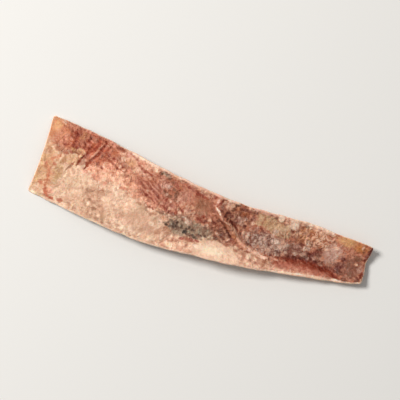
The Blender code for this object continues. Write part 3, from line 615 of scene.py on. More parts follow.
    "ridge_highlight_blobs": spots([(676, -68, 11, 5.5), (706, -73, 10, 5.5), (726, -79, 11, 5)], (255, 208, 184), 0.88,
        lift=0.08),
    "margin_halo": line([(56, 12), (42, 0), (18, -20), (36, -44), (39, -70), (39, -94), (52, -116), (70, -120)], 14,
        (212, 146, 111), 0.7, 0.8, 0.9),
    "margin_line": line([(54, 10), (42, 0), (28, -12), (19, -21), (25, -30), (36, -44), (39, -60), (39, -76)], 8,
        (190, 112, 78), 0.72, 1.1, 1, lift=-0.03),
    "margin_tail": line([(37, -89), (40, -98), (48, -110), (54, -117), (69, -119)], 9, (190, 92, 62), 0.82, 1, 0.9,
        lift=-0.03),
    "red_spots": spots([(95, -116, 8, 6), (22, -83, 8, 6), (19, -21, 6, 4), (46, -18, 6, 4)], (192, 106, 80), 0.75),
    "fold_cream": spots([(112, 43, 6.5, 7), (108, 30, 5, 6), (102, 49, 5, 4)], (243, 196, 152), 0.88, lift=0.06),
    "olive_dabs": spots([(83, 44, 8, 5), (97, 44, 5, 4)], (206, 158, 112), 0.65, 1),
    "olive_dark": spots([(88, 37, 6, 3.5), (102, 38, 6, 5)], (158, 104, 64), 0.7),
    # Painted shade: dark lines down the gathers' grooves
    "groove_left_shade": line([(108, 0), (112, 12), (116, 24), (122, 36)], 5.5, (146, 61, 31), 0.88, 0.5, still=True,
        lift=-0.08),
    "groove_far_shade": line([(126, 38), (134, 48), (142, 60), (148, 72), (156, 88)], 5, (151, 62, 38), 0.85, still=True,
        lift=-0.05),
    "groove_middle_shade": line([(134, -3), (139, 9), (145, 26), (152, 39), (161, 52), (164, 62), (167, 74), (173, 92)],
        6, (156, 65, 36), 0.9, 0.5, still=True, lift=-0.08),
    "groove_right_shade": line([(176, 60), (181, 74), (186, 90)], 4, (168, 84, 62), 0.7, 0.8, lift=-0.05),
    # Painted highlight: a pale line on the lit crest of a gather
    "gather_highlight": line([(141, 35), (150, 49), (154, 60), (159, 73), (166, 90)], 4.5, (246, 178, 148), 0.88,
        still=True, lift=0.08),
    # Painted shade: a dark line down a faint groove
    "faint_groove_shade": line([(98, 7), (94, -4), (87, -16), (81, -28)], 4.5, (154, 102, 68), lift=-0.06),
    "faint_spot": patch(95, 1, 4.5, 4.5, 0, (172, 96, 70), 0.8, 0.5, 0.8),
    "amber_corner": patch(11, 88, 24, 52, 0, (207, 139, 96), 0.95, 0.5, busy=0.25, creased=0, dots=0.05, cobbles=0),
    "amber_light": patch(16, 96, 12, 18, 0, (223, 170, 123), 0.75, 0.5),
    "amber_pink": patch(24, 57, 18, 28, 0, (194, 124, 94), 0.7),
    "pinch_body": line([(586, -20), (604, -28), (618, -40), (634, -52), (654, -63), (670, -70)], 11, (168, 101, 67),
        0.9, 0.5, still=True, lift=0.06),
    # Painted highlight: a pale line on the pinched fold's lit flank
    "pinch_glow": line([(634, -49), (642, -55), (656, -62), (668, -68)], 8.5, (226, 162, 132), 0.9, 0.5, 0.8,
        still=True),
    "pinch_edge": line([(576, -13), (592, -16), (606, -19), (618, -28), (630, -39), (642, -50)], 4.5,
        (202, 156, 130), 0.88, 0.4, still=True, lift=0.06),
    # Painted shade: a dark line along the pinched fold
    "pinch_shadow": line([(565, -13), (574, -18), (584, -23), (591, -31), (603, -43), (615, -53)], 6, (104, 46, 23),
        0.92, 0.4, still=True, lift=-0.1),
    # Painted shade: a dark line along the pinched fold
    "pinch_shadow_above": line([(598, -6), (612, -12), (621, -20), (629, -28)], 6, (116, 46, 26), 0.9, 0.5,
        still=True, lift=-0.08),
    "pinch_streak": line([(549, 48), (545, 33), (543, 21)], 5, (218, 168, 150), 0.85, still=True),
    "pinch_red": line([(558, 44), (554, 31), (549, 22)], 5.5, (150, 64, 48), 0.85, still=True),
    "pinch_pink": line([(560, 6), (569, -4), (577, -13)], 5, (216, 160, 136), 0.85, 0.4, still=True, lift=0.08),
    # Painted highlight: a bright line along the top of the pinched fold
    "pinch_highlight": line([(547, 17), (553, 12), (560, 7), (566, 0)], 5, (252, 226, 204), 0.95, 0.4, still=True,
        lift=0.1),
    # Dark end of the tip: the cut end's own red, deepened with painted shade
    "tip_end_shade": lines([[(1029, 54), (1024, 32), (1019, 12)], [(1022, -24), (1023, -42)]], 8.5, (112, 34, 14), 0.92,
        0.5, 0.8),
}
COVERED = {  # shares of the skin where no mark says otherwise
    "busy": 0.55, "creased": 0.2, "dots": 0.08, "flakes": 0.0, "beads": 0.0, "streaks": 0.0, "cobbles": 0.1,
}
WARP = ((6.0 * MM, 0.3), (2.0 * MM, 0.2))  # borders wander: the wavelengths and how far, in millimetres
WARP_LAYERS = 21  # the first of the layers of ripple() that the borders wander by
# How a mark's falloff runs: its height in the middle, and for lines their width at the ends and where they swell
PATCH_TOP, SPOT_TOP, BAND_TOP, FAR_OUTSIDE = 1.2, 1.5, 3, -9.0
LINE_END, LINE_SWELLS = 0.35, (0.06, 0.94)
RIM_END = 3  # millimetres over which a rim fades at its ends


def falloff(mark, along, across):
    """Highest in the middle of a mark, 0 at its border and negative outside. Places are in millimetres."""
    best = np.full_like(along, FAR_OUTSIDE)
    if "paths" in mark:
        for path in mark["paths"]:
            away, share = distance_to_line(path, along, across)
            swell = np.sin(np.pi * np.clip(share, *LINE_SWELLS)) ** 0.6
            width = mark["width"] * (LINE_END + (1 - LINE_END) * swell)
            best = np.maximum(best, 1 - away / width)
        return best
    if "places" in mark:
        for middle_along, middle_across, *half in mark["places"]:
            from_middle = np.hypot((along - middle_along) / half[0], (across - middle_across) / half[-1])
            best = np.maximum(best, SPOT_TOP - from_middle)
        return best
    if "low" in mark:
        low = np.interp(along, *mark["low"].T)
        high = np.interp(along, *mark["high"].T)
        ends = np.minimum(along - mark["low"][0][0], mark["low"][-1][0] - along)
        return np.clip(np.minimum(np.minimum(across - low, high - across), ends), -BAND_TOP, BAND_TOP)
    if "side" in mark:
        front, back = edges(along * MM)
        away = across - front / MM if mark["side"] == "front" else back / MM - across
        ends = np.minimum(along - mark["start"], mark["end"] - along)
        return np.minimum(1 - away / mark["width"], ends / RIM_END)
    c, s = math.cos(math.radians(mark["turn"])), math.sin(math.radians(mark["turn"]))
    x, y = along - mark["centre"][0], across - mark["centre"][1]
    return PATCH_TOP - np.hypot((x * c + y * s) / mark["half"][0], (y * c - x * s) / mark["half"][1])


def wandering(along, across):
    """The places along and across in millimetres, shifted a little so that drawn borders wander."""
    places = [along / MM, across / MM]
    for number in (0, 1):
        for layer, (wavelength, far) in enumerate(WARP):
            pattern = WARP_LAYERS + 2 * number + layer
            places[number] = places[number] + far * ripple(along, across, wavelength, pattern)
    return places


def paint(seen):
    """A colour as seen, 0 to 255, as the linear values that a shader takes."""
    seen = np.array(seen) / 255
    return (*np.where(seen <= 0.04045, seen / 12.92, ((seen + 0.055) / 1.055) ** 2.4).tolist(), 1.0)


def add_field(mesh, name, values):
    layer = mesh.attributes.new(name, "FLOAT", "POINT")
    layer.data.foreach_set("value", np.asarray(values, np.float32))


# Where the cut faces lie in the map that bake_layout() draws, side by side: steps, width, left end and upper end
CUT_STRIPS = (
    (CELLS_ALONG, 0.96, 0.02, 0.40), (CELLS_ACROSS, 0.40, 0.02, 0.50), (CELLS_ALONG, 0.96, 0.02, 0.60),
    (CELLS_ACROSS, 0.40, 0.56, 0.50),
)
CUT_STRIP_HEIGHT = 0.022
MAP_WIDTH, MAP_MARGIN = 0.96, 0.02
MAP_LEVELS = (0.84, 0.16)  # of the skin and of the flesh


def bake_layout(mesh, along, across, faces):
    """The map named OFBake: the skin above, the flesh below it, and the cut faces in strips between."""
    layer = mesh.uv_layers.new(name="OFBake")
    count = (CELLS_ALONG + 1) * (CELLS_ACROSS + 1)
    scale = MAP_WIDTH / LENGTH
    place = np.zeros((len(faces), 4, 2))
    middle = 0.5 * (np.min(across) + np.max(across))
    x = MAP_MARGIN + along * scale
    for which, level in enumerate(MAP_LEVELS):
        mine = (faces // count == which).all(axis=1)
        place[mine, :, 0] = x[faces[mine]]
        place[mine, :, 1] = level + (across[faces[mine]] - middle) * scale
    cut_faces = np.nonzero(~((faces // count == 0).all(axis=1) | (faces // count == 1).all(axis=1)))[0]
    row, step = np.divmod(np.arange(len(cut_faces)), len(border_walk()))
    start = 0
    for length, wide, left_end, level in CUT_STRIPS:
        mine = (step >= start) & (step < start + length)
        left = left_end + (step[mine] - start) / length * wide
        right = left_end + (step[mine] - start + 1) / length * wide
        high = level - row[mine] * CUT_STRIP_HEIGHT
        low = high - CUT_STRIP_HEIGHT
        place[cut_faces[mine]] = np.stack([left, high, left, low, right, low, right, high], axis=1).reshape(-1, 4, 2)
        start += length
    layer.uv.foreach_set("vector", place.astype(np.float32).ravel())


def make_strip():
    points, faces, depth = ribbon_shape()
    along, across = points[:, 0], points[:, 1]
    mesh = bpy.data.meshes.new("dried_strip")
    mesh.from_pydata(set_down(points).tolist(), [], faces.tolist())
    mesh.update()
    bake_layout(mesh, along, across, faces)
    add_field(mesh, "skin_to_flesh", depth)
    add_field(mesh, "edge_mm", edge_distance(along, across) / MM)
    shares = {name: np.full(len(points), value) for name, value in COVERED.items()}
    lift = np.zeros(len(points))
    wandered = wandering(along, across)
    for name, mark in MARKS.items():
        straight = "side" in mark or mark.get("still")
        from_border = falloff(mark, *((along / MM, across / MM) if straight else wandered))
        add_field(mesh, name, from_border)
        covered = mark["cover"] * soft_step(from_border / min(mark["soft"], 0.5))
        for other in COVERED:
            if other in mark:
                shares[other] += (mark[other] - shares[other]) * covered
        lift += mark.get("lift", 0.0) * covered
    for name, values in shares.items():
        add_field(mesh, name, values)
    add_field(mesh, "lift", lift)
    mesh.shade_smooth()
    strip = bpy.data.objects.new("dried_strip", mesh)
    bpy.context.scene.collection.objects.link(strip)
    return strip


# Short calls that build node trees


def connect(tree, node, inputs):
    """`inputs` maps a socket's name or number to a value or to the socket that feeds it."""
    for name, value in inputs.items():
        if isinstance(value, bpy.types.NodeSocket):
            tree.links.new(value, node.inputs[name])
        else:
            node.inputs[name].default_value = value


def put(tree, kind, inputs=None, **settings):
    """Adds a node, with `inputs` as for connect."""
    node = tree.nodes.new(kind)
    for name, value in settings.items():
        setattr(node, name, value)
    connect(tree, node, inputs or {})
    return node


def calc(tree, operation, *values, clamp=False):
    return put(tree, "ShaderNodeMath", dict(enumerate(values)), operation=operation, use_clamp=clamp).outputs[0]


def times(tree, *values):
    return reduce(lambda one, other: calc(tree, "MULTIPLY", one, other), values)


def plus(tree, *values):
    return reduce(lambda one, other: calc(tree, "ADD", one, other), values)


def less(tree, value, other=0.5):
    return calc(tree, "SUBTRACT", value, other)


def vector(tree, operation, place, other):
    number = 3 if operation == "SCALE" else 1
    return put(tree, "ShaderNodeVectorMath", {0: place, number: other}, operation=operation).outputs[0]


def between(tree, value, low, high, start=0.0, end=1.0):
    """`value` from low to high as a smooth step from start to end."""
    sockets = {"Value": value, "From Min": low, "From Max": high, "To Min": start, "To Max": end}
    return put(tree, "ShaderNodeMapRange", sockets, interpolation_type="SMOOTHSTEP").outputs[0]


def mixed(tree, amount, under, over, mode="MIX"):
    sockets = {0: amount, 6: under, 7: over}
    return put(tree, "ShaderNodeMix", data_type="RGBA", blend_type=mode, inputs=sockets).outputs[2]


def darker(tree, colour, amount, by):
    """The colour times `by`, which may also make it lighter."""
    return mixed(tree, amount, colour, mixed(tree, 1.0, colour, (*by, 1.0), "MULTIPLY"))


def field(tree, name):
    return put(tree, "ShaderNodeAttribute", attribute_name=name).outputs["Fac"]


def grain(tree, place, scale, detail=3.0, roughness=0.55, distortion=0.0):
    """Noise from 0 to 1 with `scale` waves a millimetre."""
    sockets = {"Vector": place, "Scale": scale, "Detail": detail, "Roughness": roughness, "Distortion": distortion}
    return put(tree, "ShaderNodeTexNoise", sockets).outputs["Fac"]


def cells(tree, place, scale):
    """How far from the middle of its Voronoi cell a place is, and the numbers from 0 to 1 that its cell has."""
    node = put(tree, "ShaderNodeTexVoronoi", {"Vector": place, "Scale": scale})
    return node.outputs["Distance"], put(tree, "ShaderNodeSeparateColor", {0: node.outputs["Color"]}).outputs


def new_group(name, kind, inputs, outputs):
    """An empty node group with these sockets, each given as its name and type, and the sockets inside it."""
    tree = bpy.data.node_groups.new(name, kind)
    for way, sockets in (("INPUT", inputs), ("OUTPUT", outputs)):
        for label, socket in sockets.items():
            tree.interface.new_socket(label, in_out=way, socket_type="NodeSocket" + socket)
    return tree, tree.nodes.new("NodeGroupInput").outputs, tree.nodes.new("NodeGroupOutput").inputs


CRINKLES = {
    "Wrinkle Length": 3.0, "Wrinkle Height": 0.17, "Crease Length": 1.9, "Crease Height": 0.11, "Grain Length": 0.6,
    "Grain Height": 0.05,
}


def crinkle_tree():
    """Nodes that wrinkle the skin, most where it is busy, and little on the cut faces. Lengths are in mm."""
    sockets = {"Geometry": "Geometry", **dict.fromkeys(CRINKLES, "Float"), "Skin": "Material"}
    tree, given, out = new_group("dried_crinkles", "GeometryNodeTree", sockets, {"Geometry": "Geometry"})
    for item in tree.interface.items_tree:
        if item.name in CRINKLES:
            item.default_value = CRINKLES[item.name]
    position = put(tree, "GeometryNodeInputPosition").outputs[0]
    normal = put(tree, "GeometryNodeInputNormal").outputs[0]

    def stored(name):
        node = put(tree, "GeometryNodeInputNamedAttribute", {"Name": name}, data_type="FLOAT")
        return node.outputs["Attribute"]

    def waves(length, shift, distortion=0.0):
        place = vector(tree, "SCALE", position, calc(tree, "DIVIDE", 1 / MM, length))
        return grain(tree, vector(tree, "ADD", place, (shift, shift, shift)), 1.0, 1.0, 0.5, distortion)

    def folds(length, shift, distortion):
        """Narrow ridges that wander, from about -0.4 to 0.6."""
        away = calc(tree, "ABSOLUTE", less(tree, waves(length, shift, distortion)))
        near = calc(tree, "SUBTRACT", 1.0, times(tree, away, 3.5), clamp=True)
        return less(tree, calc(tree, "POWER", near, 2.0), 0.4)

    uneven = between(tree, waves(times(tree, given["Wrinkle Length"], 2.5), 31.0), 0.35, 0.62, 0.25, 1.2)
    wrinkles = times(tree, folds(given["Wrinkle Length"], 0.0, 0.6), given["Wrinkle Height"], uneven)
    creases = times(tree, folds(given["Crease Length"], 17.0, 0.4), given["Crease Height"])
    fine = times(tree, less(tree, waves(given["Grain Length"], 11.0)), given["Grain Height"])
    height = plus(tree, times(tree, plus(tree, wrinkles, creases, fine), stored("busy")), stored("lift"))
    on_skin = calc(tree, "SUBTRACT", 1.0, stored("skin_to_flesh"), clamp=True)
    share = plus(tree, 0.25, times(tree, on_skin, 0.75))
    height = times(tree, height, share, between(tree, stored("edge_mm"), 0.0, 0.8, 0.3, 1.0))
    push = vector(tree, "SCALE", normal, times(tree, height, MM))
    settings = {"data_type": "FLOAT", "domain": "POINT"}
    sockets = {"Geometry": given["Geometry"], "Name": "relief"}
    keep = put(tree, "GeometryNodeStoreNamedAttribute", sockets, **settings)
    tree.links.new(height, next(s for s in keep.inputs if s.name == "Value" and s.enabled))
    moved = put(tree, "GeometryNodeSetPosition", {"Geometry": keep.outputs[0], "Offset": push})
    real = put(tree, "GeometryNodeRealizeInstances", {"Geometry": moved.outputs[0]})
    worn = put(tree, "GeometryNodeSetMaterial", {"Geometry": real.outputs[0], "Material": given["Skin"]})
    tree.links.new(worn.outputs[0], out["Geometry"])
    return tree


def crinkled(strip, material):
    """The strip as plain mesh after the crinkle nodes."""
    step = strip.modifiers.new("crinkles", "NODES")
    step.node_group = crinkle_tree()
    items = step.node_group.interface.items_tree
    sockets = {item.name: item.identifier for item in items if item.in_out == "INPUT"}
    step[sockets["Skin"]] = material
    graph = bpy.context.evaluated_depsgraph_get()
    ready = strip.evaluated_get(graph)
    mesh = bpy.data.meshes.new_from_object(ready, preserve_all_data_layers=True, depsgraph=graph)
    strip.modifiers.remove(step)
    strip.data = mesh
    place = np.empty(len(mesh.vertices) * 3, np.float32)
    mesh.vertices.foreach_get("co", place)
    place[2::3] = np.maximum(place[2::3], 0)
    mesh.vertices.foreach_set("co", place)
    mesh.update()
    mesh.name = "dried_strip"
    return strip


def mark_group():
    """A mark's cover: its smooth falloff, broken up."""
    inputs = dict.fromkeys(("Falloff", "Break", "Raggedness", "Softness"), "Float")
    tree, given, out = new_group("ragged_mark", "ShaderNodeTree", inputs, {"Cover": "Float"})
    level = plus(tree, given["Falloff"], times(tree, given["Break"], given["Raggedness"]))
    tree.links.new(between(tree, level, 0.0, given["Softness"]), out["Cover"])
    return tree


SHARES = ("Busy", "Creased", "Dots", "Streaks", "Cobbles", "Relief")  # fields that the pigment group takes
STREAK_TURN = math.radians(30)


def pigment_group():
    """Turns a plain skin colour into a mottled one: blotches, flecks, streaks, wrinkles and dots of pigment, with
    painted highlight on ridges, lump tops and relief peaks and painted shade in grooves, gaps and valleys.
    """
    inputs = {"Colour": "Color", "Place": "Vector", **dict.fromkeys(SHARES, "Float")}
    outputs = {"Colour": "Color", "Height": "Float", "Roughness": "Float"}
    tree, given, out = new_group("mottled_skin", "ShaderNodeTree", inputs, outputs)
    colour, place = given["Colour"], given["Place"]
    busy, creased, cobbles, streaks = (given[name] for name in ("Busy", "Creased", "Cobbles", "Streaks"))
    darkest = mixed(tree, 1.0, colour, (0.46, 0.27, 0.22, 1.0), "MULTIPLY")

    def bent(place, scale, far):
        wave = put(tree, "ShaderNodeTexNoise", {"Vector": place, "Scale": scale, "Detail": 1.0}).outputs["Color"]
        middle = vector(tree, "SUBTRACT", wave, (0.5, 0.5, 0.5))
        return vector(tree, "ADD", place, vector(tree, "SCALE", middle, far))

    def away(place, scale, shift):
        """How far a noise is from its middle value, small along lines that wander."""
        moved = vector(tree, "ADD", place, (shift, -shift, shift))
        return calc(tree, "ABSOLUTE", less(tree, grain(tree, moved, scale, 1.0, 0.5)))

    blotch = between(tree, grain(tree, place, 0.42, 3.0, 0.6, 0.3), 0.46, 0.66)
    colour = darker(tree, colour, times(tree, blotch, busy, 0.6), (0.70, 0.52, 0.45))
    bloom = between(tree, grain(tree, place, 0.36, 3.0, 0.6, 0.4), 0.52, 0.68)
    colour = darker(tree, colour, times(tree, bloom, busy, 0.5), (1.22, 1.38, 1.42))

    curly = bent(bent(place, 0.5, 2.4), 1.4, 0.7)
    near, tones = cells(tree, curly, 0.95)
    rubbed = plus(tree, tones[0], times(tree, less(tree, grain(tree, place, 1.1, 1.0)), 1.2))
    dark, light = between(tree, rubbed, 0.40, 0.22), between(tree, rubbed, 0.62, 0.80)
    colour = darker(tree, colour, times(tree, dark, busy, 0.7), (0.68, 0.46, 0.38))
    colour = darker(tree, colour, times(tree, light, busy, 0.7), (1.22, 1.36, 1.38))

    turned = put(tree, "ShaderNodeMapping", {"Vector": place, "Rotation": (0.0, 0.0, STREAK_TURN)}).outputs[0]
    waves = {"Vector": turned, "Scale": 0.25, "Distortion": 3.2, "Detail": 1.0, "Detail Scale": 1.6}
    waves["Detail Roughness"] = 0.5
    streak = put(tree, "ShaderNodeTexWave", waves, wave_type="BANDS", bands_direction="Y").outputs["Fac"]
    patchy = between(tree, grain(tree, place, 0.5, 1.0), 0.38, 0.56)
    dark = times(tree, between(tree, streak, 0.45, 0.15), patchy, streaks, 0.7)
    colour = darker(tree, colour, dark, (0.64, 0.46, 0.42))
    light = times(tree, between(tree, streak, 0.62, 0.9), patchy, streaks, 0.5)
    colour = mixed(tree, light, colour, paint(STREAK))

    # Pale crease ridges and dark crease grooves: partly the skin's own tone, partly painted highlight on the ridges
    # and painted shade in the grooves
    ridge_lit = times(tree, between(tree, away(curly, 0.50, 5.0), 0.075, 0.01), creased)
    groove_shade = times(tree, between(tree, away(curly, 0.42, 23.0), 0.09, 0.01), creased)
    colour = darker(tree, colour, times(tree, ridge_lit, 0.65), (1.22, 1.42, 1.48))
    colour = darker(tree, colour, times(tree, groove_shade, 0.6), (0.62, 0.46, 0.40))

    sockets = {"Vector": bent(place, 0.7, 1.0), "Scale": 0.82}
    lump = put(tree, "ShaderNodeTexVoronoi", sockets).outputs["Distance"]
    # Cobbles: painted highlight on the raised lumps' tops and painted shade in the gaps between them
    top, gap = between(tree, lump, 0.34, 0.14), between(tree, lump, 0.46, 0.66)
    colour = darker(tree, colour, times(tree, top, cobbles, 0.75), (1.35, 1.60, 1.68))
    colour = darker(tree, colour, times(tree, gap, cobbles, 0.8), (0.58, 0.42, 0.38))

    from_dot, chosen = cells(tree, place, 1.5)
    shown = between(tree, less(tree, given["Dots"], chosen[0]), 0.0, 0.12)
    size = calc(tree, "MULTIPLY_ADD", chosen[1], 0.22, 0.18)
    dot = between(tree, less(tree, from_dot, size), 0.05, -0.05)
    colour = darker(tree, colour, times(tree, dot, shown, 0.6), (0.60, 0.38, 0.32))
    # Painted highlight on the relief's peaks; the valleys are darker, partly from pigment gathered there and partly
    # from painted shade
    lit_peak, valley_shade = between(tree, given["Relief"], 0.03, 0.16), between(tree, given["Relief"], -0.02, -0.14)
    colour = mixed(tree, times(tree, lit_peak, 0.16), colour, paint(PEAK_HIGHLIGHT))
    colour = darker(tree, colour, times(tree, valley_shade, 0.4), (0.62, 0.44, 0.38))
    tree.links.new(mixed(tree, 1.0, colour, darkest, "LIGHTEN"), out["Colour"])

    soft = less(tree, grain(tree, curly, 0.9, 1.0, 0.4))
    heights = (
        (soft, plus(tree, times(tree, busy, 0.42), 0.10)), (near, near, creased, -0.18), (ridge_lit, 0.10),
        (groove_shade, -0.12), (lump, cobbles, -0.45), (streak, streaks, 0.07),
    )
    tree.links.new(plus(tree, *(times(tree, *values) for values in heights)), out["Height"])
    shine = times(tree, less(tree, grain(tree, place, 0.6, 2.0)), 0.5)
    tree.links.new(plus(tree, 0.50, shine, times(tree, ridge_lit, -0.10)), out["Roughness"])
    return tree


# Pale cut faces: the flesh's own cream, made paler as painted highlight where the cut edge catches the light
CUT_CREAM_HIGHLIT = (255, 222, 197)
CUT_TAN = (246, 196, 168)
CUT_GREY = (206, 180, 158)
# The tip's cut end: its own red, deepened with painted shade
CUT_SHADE_RED = (124, 40, 20)
FLESH = (222, 178, 134)
FLESH_DEEP = (188, 132, 86)
FLESH_THIN = (190, 122, 76)
FLESH_BLOOM = (236, 208, 178)
SKIN_TAN = (206, 164, 136)
SKIN_PALE = (235, 194, 166)
FLAKE = (216, 184, 167)
FLAKE_GAP = (116, 68, 56)
WORM = (234, 186, 158)
STREAK = (228, 166, 140)
PEAK_HIGHLIGHT = (250, 214, 190)
SKIN_SHOWS = 0.22  # the share of the skin's colour that shows through the flesh
FLAKES_PER_MM = 0.78


def flesh_look(tree, place, skin_colour):
    """Colour and height of the underside: amber flesh with fibres along the strip and a pale dry bloom."""
    along = vector(tree, "MULTIPLY", place, (0.16, 1.0, 1.0))
    fibre = grain(tree, along, 1.1, 3.0, 0.6, 0.35)
    strand = grain(tree, along, 0.38, 2.0, 0.5, 0.5)
    colour = mixed(tree, between(tree, fibre, 0.34, 0.68), paint(FLESH_DEEP), paint(FLESH))
    bloom = between(tree, grain(tree, place, 0.14, 4.0, 0.6, 0.4), 0.46, 0.70)
    deep = between(tree, strand, 0.50, 0.30)
    thin = between(tree, field(tree, "edge_mm"), 2.6, 0.2)
    for mask, share, seen in ((bloom, 0.75, FLESH_BLOOM), (deep, 0.45, FLESH_DEEP), (thin, 0.45, FLESH_THIN)):
        colour = mixed(tree, times(tree, mask, share), colour, paint(seen))
    colour = mixed(tree, SKIN_SHOWS, colour, skin_colour)
    return colour, plus(tree, times(tree, fibre, 0.22), times(tree, strand, 0.30))


def marked(tree, place):
    """The skin's colour with every mark on it, and the cover of the marks that the cut faces show."""
    group = mark_group()
    coarse = less(tree, grain(tree, place, 0.45, 2.5, 0.65))
    dots = less(tree, grain(tree, place, 1.4, 1.0, 0.5))
    broken = plus(tree, times(tree, coarse, 2.0), times(tree, dots, 1.6))
    mottle = grain(tree, place, 0.2, 5.0, 0.65)
    colour = mixed(tree, between(tree, mottle, 0.38, 0.62), paint(SKIN_TAN), paint(SKIN_PALE))
    ends = {}
    for name, mark in MARKS.items():
        mask = put(tree, "ShaderNodeGroup", node_tree=group)
        sockets = {"Falloff": field(tree, name), "Break": broken}
        connect(tree, mask, {**sockets, "Raggedness": mark["ragged"], "Softness": mark["soft"]})
        colour = mixed(tree, times(tree, mask.outputs[0], mark["cover"]), colour, paint(mark["seen"]))
        if name in ("tip_rim", "tip_end_shade"):
            ends[name] = between(tree, mask.outputs[0], 0.0, 0.5)
    return colour, ends


def skin_material():
    material = bpy.data.materials.new("dried_skin")
    material.use_nodes = True
    tree = material.node_tree
    shader = tree.nodes["Principled BSDF"]
    place = vector(tree, "SCALE", put(tree, "ShaderNodeTexCoord").outputs["Object"], 1 / MM)
    colour, ends = marked(tree, place)

    wave = put(tree, "ShaderNodeTexNoise", {"Vector": place, "Scale": 0.6, "Detail": 2.0}).outputs["Color"]
    stretched = vector(tree, "MULTIPLY", place, (0.72, 0.95, 0.8))
    flake_place = vector(tree, "ADD", stretched, vector(tree, "SCALE", wave, 2.6))
    tone = cells(tree, flake_place, FLAKES_PER_MM)[1][0]
    sockets = {"Vector": flake_place, "Scale": FLAKES_PER_MM}
    edge = put(tree, "ShaderNodeTexVoronoi", sockets, feature="DISTANCE_TO_EDGE").outputs[0]
    flakes = field(tree, "flakes")
    flake = times(tree, between(tree, tone, 0.34, 0.56), between(tree, edge, 0.05, 0.2), flakes)
    gap = times(tree, between(tree, edge, 0.13, 0.02), flakes)
    curls = calc(tree, "ABSOLUTE", less(tree, grain(tree, place, 0.46, 0.0, 0.5, 1.9)))
    worm = times(tree, between(tree, curls, 0.085, 0.045), field(tree, "beads"))
    for mask, share, seen in ((flake, 0.85, FLAKE), (gap, 0.75, FLAKE_GAP), (worm, 0.85, WORM)):
        colour = mixed(tree, times(tree, mask, share), colour, paint(seen))

    mottled = put(tree, "ShaderNodeGroup", node_tree=pigment_group())
    shares = {name: field(tree, name.lower()) for name in SHARES}
    connect(tree, mottled, {"Colour": colour, "Place": place, **shares})
    colour = mottled.outputs["Colour"]

    depth = field(tree, "skin_to_flesh")
    layers = between(tree, grain(tree, place, 1.3, 2.0), 0.35, 0.65)
    cut_colour = mixed(tree, layers, paint(CUT_CREAM_HIGHLIT), paint(CUT_TAN))
    cut_colour = mixed(tree, times(tree, ends["tip_rim"], 0.8), cut_colour, paint(CUT_GREY))
    cut_colour = mixed(tree, ends["tip_end_shade"], cut_colour, paint(CUT_SHADE_RED))
    flesh_colour, fibres = flesh_look(tree, place, colour)
    colour = mixed(tree, between(tree, depth, 0.02, 0.3), colour, cut_colour)
    flesh = between(tree, depth, 0.9, 1.0)
    colour = mixed(tree, flesh, colour, flesh_colour)

    fine = times(tree, grain(tree, place, 2.2, 1.5, 0.5), 0.07)
    height = plus(tree, mottled.outputs["Height"], fine, times(tree, flake, 0.12), times(tree, worm, 0.14))
    height = times(tree, height, between(tree, depth, 0.5, 1.0, 1.0, 0.35))
    height = plus(tree, height, times(tree, fibres, flesh))
    lift = put(tree, "ShaderNodeBump", {"Strength": 1.0, "Distance": MM, "Height": height})
    look = {
        "Base Color": colour, "Roughness": mottled.outputs["Roughness"], "Normal": lift.outputs[0],
        "Specular IOR Level": 0.25, "Subsurface Weight": 0.3, "Subsurface Radius": (1.0, 0.45, 0.25),
        "Subsurface Scale": 0.5 * MM,
    }
    connect(tree, shader, look)
    return material


FLOOR_HALF = 2.0


def make_floor():
    mesh = bpy.data.meshes.new("floor")
    corners = [(x * FLOOR_HALF, y * FLOOR_HALF, 0) for x, y in ((-1, -1), (1, -1), (1, 1), (-1, 1))]
    mesh.from_pydata(corners, [], [(0, 1, 2, 3)])
    floor = bpy.data.objects.new("floor", mesh)
    bpy.context.scene.collection.objects.link(floor)
    material = bpy.data.materials.new("pale_floor")
    material.use_nodes = True
    shader = material.node_tree.nodes["Principled BSDF"]
    look = {"Base Color": (0.80, 0.79, 0.77, 1), "Roughness": 0.9, "Specular IOR Level": 0.1}
    connect(material.node_tree, shader, look)
    mesh.materials.append(material)


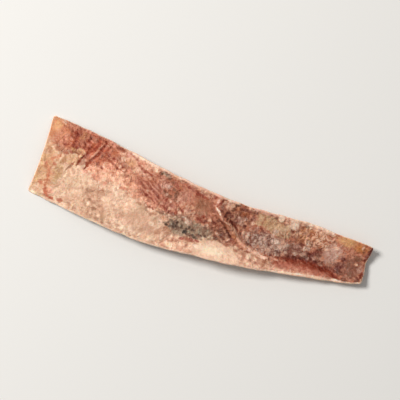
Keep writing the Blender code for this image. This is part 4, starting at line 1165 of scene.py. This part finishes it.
PICTURE_TILT = math.radians(19.1)  # how far the strip slopes down to the right in the picture
PICTURE_WIDTH = 120 * MM
CAMERA_DISTANCE = 0.5
SENSOR_WIDTH = 36
SKIN_HEIGHT = 3.5 * MM  # how high most of the skin lies above the floor
PICTURE_CENTRE = (49.2 * MM, 2.3 * MM)  # along and across the strip
LAMP_SIDE = (-0.66, 0.44, 0.92)  # to the right, up and towards the camera, as seen in the picture
LAMP_DISTANCE = 0.7
LAMP_SIZE = 0.28
LAMP_POWER = 6.9
SKY_STRENGTH = 0.325


def make_camera(origin):
    camera = bpy.data.objects.new("camera", bpy.data.cameras.new("camera"))
    bpy.context.scene.collection.objects.link(camera)
    camera.data.sensor_width = SENSOR_WIDTH
    camera.data.lens = SENSOR_WIDTH * CAMERA_DISTANCE / PICTURE_WIDTH
    camera.location = (*(np.array(PICTURE_CENTRE) - origin), CAMERA_DISTANCE + SKIN_HEIGHT)
    camera.rotation_euler = Euler((0, 0, PICTURE_TILT))
    camera.data.clip_start = 0.01
    camera.data.clip_end = 10
    bpy.context.scene.camera = camera


def make_lights():
    """One broad soft light from the picture's upper left, and an even pale sky."""
    scene = bpy.context.scene
    scene.world = bpy.data.worlds.new("studio")
    scene.world.use_nodes = True
    sky = scene.world.node_tree.nodes["Background"]
    connect(scene.world.node_tree, sky, {"Color": (1.0, 0.99, 0.97, 1), "Strength": SKY_STRENGTH})
    lamp = bpy.data.lights.new("key", "AREA")
    lamp.shape = "DISK"
    lamp.size = LAMP_SIZE
    lamp.energy = LAMP_POWER
    lamp.color = (1.0, 0.98, 0.95)
    key = bpy.data.objects.new("key", lamp)
    scene.collection.objects.link(key)
    side, cos, sin = Vector(LAMP_SIDE), math.cos(PICTURE_TILT), math.sin(PICTURE_TILT)
    place = Vector((side.x * cos - side.y * sin, side.x * sin + side.y * cos, side.z))
    key.location = place * LAMP_DISTANCE
    key.rotation_euler = place.to_track_quat("Z", "Y").to_euler()
    scene.view_settings.view_transform = "Standard"
    scene.view_settings.look = "None"


def main():
    skin = skin_material()
    strip = crinkled(make_strip(), skin)
    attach(strip, "root")
    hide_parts("cuttlefish_strip")
    make_floor()
    make_lights()
    make_camera(box_middle(ribbon_shape()[0]))


main()
